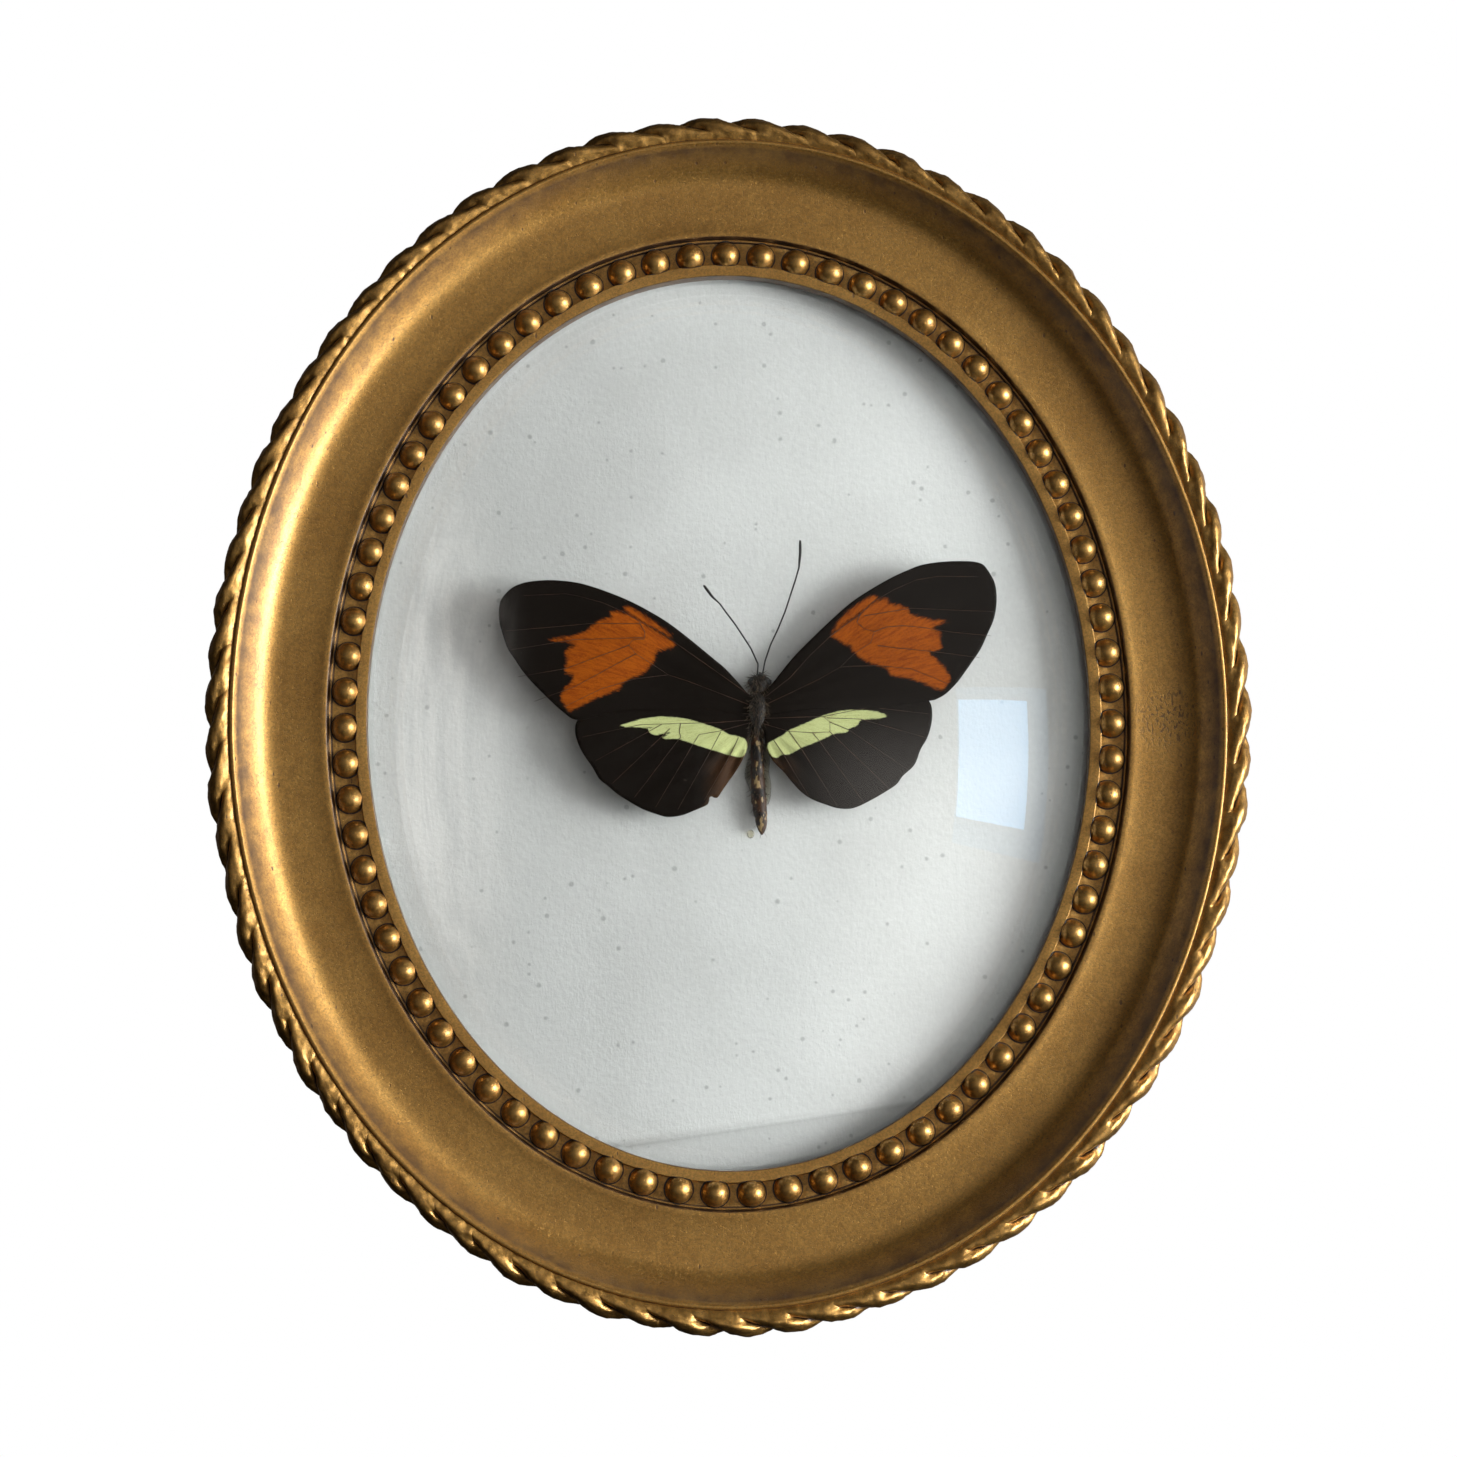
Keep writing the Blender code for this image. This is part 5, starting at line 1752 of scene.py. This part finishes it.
@dataclass
class Butterfly:
    """The set butterfly: four wings with their veins, body, hairs and antennae."""

    scale: float = 0.984 * MM
    x: float = 3.9 * MM
    z: float = 0.7 * MM
    card_front: float = 4.5 * MM
    wing_root_height: float = 8.0 * MM
    wing_thickness: float = 0.13 * MM
    mesh_spacing: float = 0.42
    body_sides: int = 28
    body_rows: int = 90
    antenna_radius: float = 0.115 * MM
    club_radius: float = 0.2 * MM
    waist: float = -3.2
    ring_length: float = 1.95
    ring_notch: float = 0.09
    hair_density: float = 1.7e7
    hair_seed: int = 8

    def place(self, points: np.ndarray, heights: np.ndarray) -> np.ndarray:
        """Returns specimen points, in millimetres, as points of the frame at these heights."""
        return np.stack([
            self.x + self.scale * points[:, 0], -heights, self.z + self.scale * points[:, 1]], axis=1)

    def wing_height(self, wing: Wing, points: np.ndarray) -> np.ndarray:
        """Returns the height over the wall of points of a wing.

        Args:
            wing: The wing.
            points: Its points.

        Returns:
            A height for each point.
        """
        reach = np.abs(points[:, 0])
        height = self.wing_root_height + MM * (wing.raise_mm + wing.lift * reach)
        height += 0.12 * MM * np.sin(0.33 * reach + 0.12 * points[:, 1])
        turn = np.arctan2(points[:, 1] - wing.root[1], reach)
        span = np.hypot(reach, points[:, 1] - wing.root[1])
        height += 0.05 * MM * np.sin(26.0 * turn) * np.clip(span / 12.0, 0.0, 1.0)
        if wing.pleated:
            inner = np.clip((9.0 - reach) / 5.0, 0.0, 1.0) * np.clip((-3.0 - points[:, 1]) / 4.0, 0.0, 1.0)
            height += wing.pleated * 0.28 * MM * inner * np.sin(24.0 * turn + 0.5 * np.sin(0.7 * span))
            height -= wing.pleated * 0.6 * MM * inner
        return height

    def build_wing(self, wing: Wing, material: Material) -> Piece:
        """Makes one wing as a thin closed shell that knows its patterns.

        Args:
            wing: The wing.
            material: The finish of all four wings.

        Returns:
            The wing's object.
        """
        outline = closed_curve(wing.outline, self.mesh_spacing)
        points, faces = filled(outline, self.mesh_spacing)
        heights = self.wing_height(wing, points)
        attributes = {"vein": self.vein_reach(wing, points)}
        for label, shapes in (("orange", wing.orange), ("yellow", wing.yellow)):
            depth = np.full(len(points), -9.0)
            for shape in shapes:
                depth = np.maximum(depth, depth_inside(points, closed_curve(shape, 0.3)))
            attributes[label] = depth * self.scale
        reach = np.abs(points[:, 0])
        inner = np.clip((10.0 - reach) / 7.0, 0.0, 1.0) * np.clip((-2.0 - points[:, 1]) / 6.0, 0.0, 1.0)
        margin = distance_to_line(points, outline, True)
        attributes["thin"] = inner * 1.1 * wing.pleated + 0.18 * np.clip(1.0 - margin / 0.5, 0.0, 1.0)
        turn = np.arctan2(points[:, 1] - wing.root[1], points[:, 0] - wing.root[0])
        span = np.hypot(points[:, 0] - wing.root[0], points[:, 1] - wing.root[1])
        attributes["rays"] = np.stack([60.0 * np.cos(turn), 60.0 * np.sin(turn), 0.45 * span], axis=1)
        piece = new_piece(wing.name, self.place(points, heights), faces, material, attributes, 80.0)
        if sum(p.normal.y * p.area for p in piece.data.polygons) > 0.0:
            piece.data.flip_normals()
        solid = piece.modifiers.new("shell", "SOLIDIFY")
        solid.thickness = self.wing_thickness
        solid.offset = -1.0
        return bake_modifiers(piece)

    def vein_reach(self, wing: Wing, points: np.ndarray) -> np.ndarray:
        """Returns how far each point of a wing lies from its nearest vein, in metres.

        Args:
            wing: The wing.
            points: Its points.

        Returns:
            A distance for each point.
        """
        best = np.full(len(points), np.inf)
        for vein in wing.veins:
            best = np.minimum(best, distance_to_line(points, np.array(vein), False))
        return best * self.scale

    def build_veins(self, wings: tuple[Wing, ...]) -> Piece:
        """Lays thin tubes along the veins of all the wings.

        Args:
            wings: The wings.

        Returns:
            The veins.
        """
        lines = []
        for wing in wings:
            for vein in wing.veins:
                fine = self.refined(np.array(vein), 0.6)
                heights = self.wing_height(wing, fine) + 0.01 * MM
                shares = np.linspace(0.0, 1.0, len(fine))
                lines.append((self.place(fine, heights), (0.055 - 0.03 * shares) * MM))
        return self.tubes("wing_veins", lines, VEIN.material(), 6)

    @staticmethod
    def refined(line: np.ndarray, spacing: float) -> np.ndarray:
        """Returns an open line with points at most spacing apart.

        Args:
            line: The line's points.
            spacing: The longest step.

        Returns:
            The finer line.
        """
        points = [line[0]]
        for a, b in zip(line, line[1:]):
            steps = max(1, int(math.ceil(np.linalg.norm(b - a) / spacing)))
            points += [a + (b - a) * k / steps for k in range(1, steps + 1)]
        return np.array(points)

    @staticmethod
    def tubes(name: str, lines: list[tuple[np.ndarray, np.ndarray]], material: Material,
              sides: int) -> Piece:
        """Makes tubes along lines.

        Args:
            name: The piece's name.
            lines: The points of each line, and the tube's radius at each point.
            material: The tubes' material.
            sides: How many sides a tube has.

        Returns:
            The piece.
        """
        vertices = np.concatenate([points for points, _ in lines])
        edges, base = [], 0
        for points, _ in lines:
            edges += [(base + k, base + k + 1) for k in range(len(points) - 1)]
            base += len(points)
        mesh = bpy.data.meshes.new(name)
        mesh.from_pydata(vertices.tolist(), edges, [])
        thick = np.concatenate([radii for _, radii in lines]).astype(np.float32)
        mesh.attributes.new("thick", "FLOAT", "POINT").data.foreach_set("value", thick)
        piece = bpy.data.objects.new(name, mesh)
        bpy.context.scene.collection.objects.link(piece)
        run_tree(piece, TREES.tubes, {"Sides": sides, "Spacing": 0.35 * MM, "Material": material})
        return turned_outwards(piece)

    def build_antennae(self) -> Piece:
        """Makes both antennae, which thicken into slim clubs.

        Returns:
            The antennae.
        """
        lines = []
        for line in (LEFT_ANTENNA, RIGHT_ANTENNA):
            fine = self.refined(np.array(line), 0.6)
            shares = np.linspace(0.0, 1.0, len(fine))
            heights = (7.3 + 2.2 * shares) * MM
            club = np.clip((shares - 0.80) / 0.1, 0.0, 1.0) * np.clip((1.02 - shares) / 0.05, 0.3, 1.0)
            radii = self.antenna_radius + (self.club_radius - self.antenna_radius) * club
            lines.append((self.place(fine, heights), radii))
        return self.tubes("antennae", lines, SKIN_MATERIAL, 10)

    def build_body(self) -> Piece:
        """Makes head, thorax and ringed abdomen as one closed form, with eyes and palps.

        Returns:
            The body.
        """
        order = np.array(BODY_STATIONS)[::-1]
        shares = 0.5 - 0.5 * np.cos(np.linspace(0.0, math.pi, self.body_rows))
        along = 0.5 * (np.linspace(0.0, 1.0, self.body_rows) + shares)
        z = order[0, 0] + (order[-1, 0] - order[0, 0]) * along
        middle, half_width, half_depth, height = [np.interp(z, order[:, 0], order[:, k]) for k in range(1, 5)]
        turns = full_turn(self.body_sides)
        belly = z < self.waist
        place_in_ring = (self.waist - z) % self.ring_length
        segment = np.where(belly, 1.0 - self.ring_notch * np.exp(-((place_in_ring - 0.1) / 0.28) ** 2), 1.0)
        vertices, worn, strew = [], [], []
        for k in range(self.body_rows):
            across = middle[k] + half_width[k] * segment[k] * np.cos(turns)
            ring = np.stack([across, np.full(self.body_sides, z[k])], axis=1)
            lifts = self.card_front + MM * (height[k] + half_depth[k] * segment[k] * np.sin(turns))
            vertices.append(self.place(ring, lifts))
            worn.append(np.full(self.body_sides, 1.0 if belly[k] else 0.0))
            strew.append(np.full(self.body_sides, 0.12 if belly[k] else 1.0))
        ends = self.place(
            np.array([[middle[0], z[0] - 0.05], [middle[-1], z[-1] + 0.1]]),
            self.card_front + MM * np.array([height[0], height[-1]]))
        faces = capped_rings(self.body_rows, self.body_sides)
        points = np.concatenate(vertices + [ends])
        return new_piece("butterfly_body", points, faces, SKIN_MATERIAL, {
            "worn": np.concatenate(worn + [[1.0, 0.0]]), "strew": np.concatenate(strew + [[0.1, 1.0]])}, 80.0)

    def build_eyes(self) -> Piece:
        """Makes the two eyes and the curled tongue between them.

        Returns:
            The eyes, palps and tongue.
        """
        lines = []
        for x in (-0.62, 1.42):
            ball = np.array([[x, 3.7], [x, 4.0], [x, 4.35], [x, 4.7], [x, 5.0]])
            radii = np.array([0.25, 0.62, 0.75, 0.62, 0.25]) * MM
            lines.append((self.place(ball, np.full(5, self.card_front + 2.75 * MM)), radii))
        turns = np.linspace(0.0, 4.2, 24)
        coil = 0.34 * (1 - 0.13 * turns)
        curl = np.stack([0.42 + coil * np.cos(turns), 5.45 + coil * np.sin(turns)], axis=1)
        lines.append((self.place(curl, np.full(24, self.card_front + 3.0 * MM)), np.full(24, 0.10 * MM)))
        for x in (0.1, 0.75):
            palp = np.array([[x, 4.9], [x, 5.3], [x + 0.05, 5.75]])
            radii = np.array([0.16, 0.15, 0.06]) * MM
            lines.append((self.place(palp, np.full(3, self.card_front + 3.1 * MM)), radii))
        return self.tubes("eyes_and_palps", lines, EYE.material(), 14)

    def build_hair(self, body: Piece) -> Piece:
        """Strews fine hairs over head and thorax, lying back along the body.

        Args:
            body: The body that the hairs stand on.

        Returns:
            The hairs.
        """
        surface = body.copy()
        surface.data = body.data.copy()
        surface.name = "body_hair"
        bpy.context.scene.collection.objects.link(surface)
        hair = self.hair()
        strewn = run_tree(surface, TREES.scatter, {
            "Shape": hair, "Density": self.hair_density, "Lean": (0.0, -0.1, -0.9), "Tilt": 0.55,
            "Smallest": 0.5, "Largest": 1.25, "Seed": self.hair_seed, "Material": HAIR.material()})
        bpy.data.objects.remove(hair)
        return strewn

    @staticmethod
    def hair(length: float = 0.95 * MM, radius: float = 0.034 * MM) -> Piece:
        """Makes one hair, a bent three-sided spike that points along +Z.

        Args:
            length: Its length.
            radius: Its radius at the root.

        Returns:
            The hair.
        """
        points = []
        for height, bend, size in ((0.0, 0.0, 1.0), (0.5, 0.06, 0.8), (0.85, 0.17, 0.45)):
            for k in range(3):
                turn = math.tau * k / 3
                x, y = radius * size * math.cos(turn), radius * size * math.sin(turn)
                points.append((length * bend + x, y, length * height))
        points.append((length * 0.24, 0.0, length))
        faces = [(0, 2, 1)] + [tuple(f) for f in ring_faces(3, 3, False)]
        faces += [(6 + k, 6 + (k + 1) % 3, 9) for k in range(3)]
        return new_piece("hair", points, faces)

    def build(self) -> None:
        """Builds and hands over the whole butterfly."""
        material = WING.material()
        wings = (LEFT_FORE, RIGHT_FORE, LEFT_HIND, RIGHT_HIND)
        pieces = [self.build_wing(wing, material) for wing in wings] + [self.build_veins(wings)]
        body = self.build_body()
        pieces += [self.build_hair(body), body, self.build_eyes(), self.build_antennae()]
        for piece in pieces:
            hand_over(piece, Slot.BUTTERFLY, "butterfly")


@dataclass
class Glue:
    """The clear glue that holds the abdomen to the card."""

    base: float = 4.5 * MM
    foot: float = 4.52 * MM
    height: float = 1.8 * MM
    spacing: float = 0.28
    blobs: tuple[Outline, ...] = (
        ((0.3, -4.3), (1.3, -4.5), (1.9, -6.2), (1.75, -8.4), (2.05, -10.3), (1.8, -12.4), (1.1, -13.4),
         (0.2, -13.6), (-0.6, -12.0), (-1.2, -10.4), (-1.75, -8.8), (-1.4, -7.0), (-0.6, -5.6)),
        ((-1.5, -17.0), (-1.1, -16.6), (-0.6, -16.7), (-0.4, -17.3), (-0.8, -17.8), (-1.3, -17.7)),
    )

    def build(self, specimen: Butterfly) -> None:
        """Builds and hands over the glue.

        Args:
            specimen: The butterfly, which says where its own points lie.
        """
        vertices, faces = [], []
        for blob in self.blobs:
            outline = closed_curve(blob, self.spacing)
            points, triangles = filled(outline, self.spacing)
            depth = np.maximum(depth_inside(points, outline), 0.0)
            widest = float(depth.max())
            dome = np.sqrt(np.clip(1.0 - (1.0 - depth / widest) ** 2, 0.0, 1.0))
            top = specimen.place(points, self.base + min(self.height, 1.1 * MM * widest) * dome)
            bottom = specimen.place(points, np.full(len(points), self.foot))
            base = sum(len(v) for v in vertices)
            rim = np.flatnonzero(depth < 1e-6)
            bottom[rim] = top[rim] = specimen.place(points[rim], np.full(len(rim), self.foot))
            vertices += [top, bottom]
            faces += [tuple(base + i for i in t) for t in triangles]
            faces += [tuple(base + len(points) + i for i in reversed(t)) for t in triangles]
        piece = new_piece("clear_glue_drops", np.concatenate(vertices), faces, GLUE.material())
        hand_over(turned_outwards(piece), Slot.GLUE, "glue_pad")


@dataclass
class Studio:
    """The camera, the soft lights and the pale floor."""

    camera_azimuth: float = -1.52
    camera_elevation: float = -6.24
    camera_distance: float = 420.0 * MM
    camera_target: tuple[float, float, float] = (-0.15 * MM, -9.0 * MM, -1.72 * MM)
    camera_roll: float = math.radians(-0.48)
    focal_pixels: float = 2990.6
    image_pixels: float = 1457.0
    sensor: float = 36.0
    floor_z: float = -0.5
    floor_reach: float = 2.5
    floor_glow: float = 0.6
    softbox_direction: tuple[float, float] = (64.2, -1.5)
    softbox_distance: float = 0.9
    softbox_size: tuple[float, float] = (0.38, 0.34)
    softbox_radiance: float = 27.0
    softbox_colour: tuple[float, float, float, float] = (0.94, 0.98, 1.0, 1.0)
    window_shift: tuple[float, float] = (-0.042, 0.016)
    window_size: tuple[float, float] = (0.28, 0.25)
    window_radiance: float = 7.0
    window_blur: float = 0.004
    window_surround: float = 1.2
    window_colour: tuple[float, float, float, float] = (0.30, 0.62, 1.0, 1.0)
    fill_direction: tuple[float, float] = (25.0, 8.0)
    back_direction: tuple[float, float] = (160.0, 25.0)
    back_radiance: float = 4.0
    fill_distance: float = 1.2
    fill_size: float = 0.9
    fill_radiance: float = 1.3
    room_level: float = 0.33
    mirror_level: float = 0.012
    mirror_veil: float = 0.8
    mirror_wall: float = 2.3

    def add_camera(self) -> None:
        """Places the camera at the photograph's viewing angle."""
        away = self.towards(self.camera_azimuth, self.camera_elevation)
        data = bpy.data.cameras.new("camera")
        data.sensor_width = self.sensor
        data.lens = self.focal_pixels * self.sensor / self.image_pixels
        data.clip_start = 0.01
        data.clip_end = 20.0
        camera = bpy.data.objects.new("camera", data)
        bpy.context.scene.collection.objects.link(camera)
        forward = -away
        right = forward.cross(Vector((0.0, 0.0, 1.0))).normalized()
        up = right.cross(forward)
        roll = self.camera_roll
        x_axis = right * math.cos(roll) + up * math.sin(roll)
        y_axis = up * math.cos(roll) - right * math.sin(roll)
        matrix = camera.matrix_world.to_3x3()
        matrix.col[0], matrix.col[1], matrix.col[2] = x_axis, y_axis, away
        camera.matrix_world = matrix.to_4x4()
        camera.location = Vector(self.camera_target) + away * self.camera_distance
        bpy.context.scene.camera = camera

    @staticmethod
    def towards(azimuth: float, elevation: float) -> Vector:
        """Returns the direction at these degrees to the right of the front and up."""
        turn, lift = math.radians(azimuth), math.radians(elevation)
        return Vector((math.sin(turn) * math.cos(lift), -math.cos(turn) * math.cos(lift), math.sin(lift)))

    def add_softbox(self) -> None:
        """Adds the softbox at the right, a glowing panel that clear mirror images show dimmer."""
        half_width, half_height = 0.5 * self.softbox_size[0], 0.5 * self.softbox_size[1]
        away = self.towards(*self.softbox_direction)
        across = Vector((0.0, 0.0, 1.0)).cross(away).normalized()
        up = away.cross(across)
        centre = away * self.softbox_distance
        ends = ((-1, -1), (-1, 1), (1, 1), (1, -1))
        corners = [centre + across * half_width * x + up * half_height * z for x, z in ends]
        panel = new_piece("softbox", corners, [(0, 1, 2, 3)])
        if panel.data.polygons[0].normal.dot(away) > 0.0:
            panel.data.flip_normals()
        material = bpy.data.materials.new("softbox_glow")
        material.use_nodes = True
        build = NodeBuilder(material.node_tree)
        material.node_tree.nodes.clear()
        offset = build.vector("SUBTRACT", build.add("ShaderNodeTexCoord").outputs["Object"], tuple(centre))
        side = build.minus(build.measure("DOT_PRODUCT", offset, tuple(across)), self.window_shift[0])
        rise = build.minus(build.measure("DOT_PRODUCT", offset, tuple(up)), self.window_shift[1])
        inner_width, inner_height = 0.5 * self.window_size[0], 0.5 * self.window_size[1]
        in_width = build.ramp(build.math("ABSOLUTE", side), inner_width + self.window_blur, inner_width)
        in_height = build.ramp(build.math("ABSOLUTE", rise), inner_height + self.window_blur, inner_height)
        window = build.times(in_width, in_height)
        clear = build.make("ShaderNodeEmission", {
            "Color": self.window_colour,
            "Strength": build.ramp(window, 0.0, 1.0, self.window_surround, self.window_radiance)})
        full = build.make("ShaderNodeEmission", {
            "Color": self.softbox_colour, "Strength": self.softbox_radiance})
        mirror = build.add("ShaderNodeLightPath").outputs["Is Singular Ray"]
        behind = build.add("ShaderNodeNewGeometry").outputs["Backfacing"]
        mixed = build.make("ShaderNodeMixShader", {0: mirror, 1: full, 2: clear})
        one_sided = build.make("ShaderNodeMixShader", {0: behind, 1: mixed})
        build.add("ShaderNodeOutputMaterial", {"Surface": one_sided})
        panel.data.materials.append(material)
        panel.visible_camera = False
        panel.visible_transmission = False

    def add_fill(self, name: str, direction: tuple[float, float], radiance: float) -> None:
        """Adds a broad soft fill, which only lights matt surfaces.

        Args:
            name: The light's name.
            direction: Where it stands, in degrees to the right of the front and up.
            radiance: How bright its face is.
        """
        data = bpy.data.lights.new(name, "AREA")
        data.shape = "RECTANGLE"
        data.size = data.size_y = self.fill_size
        data.energy = radiance * 4.0 * self.fill_size ** 2
        data.color = (0.97, 0.99, 1.0)
        light = bpy.data.objects.new(name, data)
        away = self.towards(*direction)
        light.location = away * self.fill_distance
        light.rotation_euler = away.to_track_quat("Z", "Y").to_euler()
        light.visible_camera = False
        light.visible_glossy = False
        light.visible_transmission = False
        bpy.context.scene.collection.objects.link(light)

    def add_world(self) -> None:
        """Makes the room: white where the camera sees past the frame, dim all round it."""
        world = bpy.data.worlds.new("room")
        world.use_nodes = True
        bpy.context.scene.world = world
        build = NodeBuilder(world.node_tree)
        world.node_tree.nodes.clear()
        direction = build.add("ShaderNodeTexCoord").outputs["Generated"]
        x, _, z = build.add("ShaderNodeSeparateXYZ", {0: direction}).outputs
        level = build.ramp(x, -1.0, 0.4, 0.02, self.room_level)
        level = build.times(level, build.ramp(z, -0.55, -0.22, 0.04, 1.0))
        level = build.times(level, build.ramp(z, 0.3, 0.75, 1.0, 0.12))
        veil = build.times(build.ramp(x, 0.12, 0.7), build.ramp(z, 0.16, -0.1, 0.12, 1.0))
        veil = build.plus(self.mirror_level, build.times(veil, self.mirror_veil))
        wall = build.ramp(x, -0.66, -0.96, 0.0, self.mirror_wall)
        folds = build.noise(build.vector("MULTIPLY", direction, (26.0, 26.0, 2.2)), 1.0, 3.0, 0.6)
        veil = build.plus(veil, build.times(wall, build.ramp(folds, 0.36, 0.62, 0.35, 1.0)))
        path = build.add("ShaderNodeLightPath").outputs
        mirror = build.make("ShaderNodeMix", {0: path["Is Singular Ray"], 2: level, 3: veil})
        room = build.scaled(build.make("ShaderNodeCombineXYZ", {0: 1.0, 1: 0.94, 2: 0.88}), mirror)
        seen = build.make("ShaderNodeBackground", {"Color": (1.0, 1.0, 1.0, 1.0), "Strength": 1.0})
        lit = build.make("ShaderNodeBackground", {"Color": room, "Strength": 1.0})
        mixed = build.make("ShaderNodeMixShader", {0: path["Is Camera Ray"], 1: lit, 2: seen})
        build.add("ShaderNodeOutputWorld", {"Surface": mixed})

    def add_floor(self) -> None:
        """Lays the pale floor below the frame."""
        ends = ((-1, -1), (1, -1), (1, 1), (-1, 1))
        corners = [(self.floor_reach * x, self.floor_reach * y, self.floor_z) for x, y in ends]
        material = FLOOR.material()
        NodeBuilder(material.node_tree).feed(material.node_tree.nodes["Principled BSDF"], {
            "Emission Color": (0.97, 0.98, 1.0, 1.0), "Emission Strength": self.floor_glow})
        floor = new_piece("floor", corners, [(0, 1, 2, 3)], material)
        floor.visible_diffuse = False
        floor.visible_glossy = False
        floor.visible_transmission = False

    def build(self) -> None:
        """Sets the whole studio up."""
        self.add_camera()
        self.add_softbox()
        self.add_fill("front_fill", self.fill_direction, self.fill_radiance)
        self.add_fill("back_fill", self.back_direction, self.back_radiance)
        self.add_world()
        self.add_floor()
        bpy.context.scene.view_settings.view_transform = "Standard"
        bpy.context.scene.view_settings.look = "None"


def main() -> None:
    """Builds every part of the dressed frame in order."""
    logging.basicConfig(level=logging.INFO, format="%(name)s: %(message)s")
    Studio().build()
    Moulding().build()
    Backing().build()
    specimen = Butterfly()
    specimen.build()
    Glue().build(specimen)
    Dome().build()


if __name__ == "__main__":
    main()
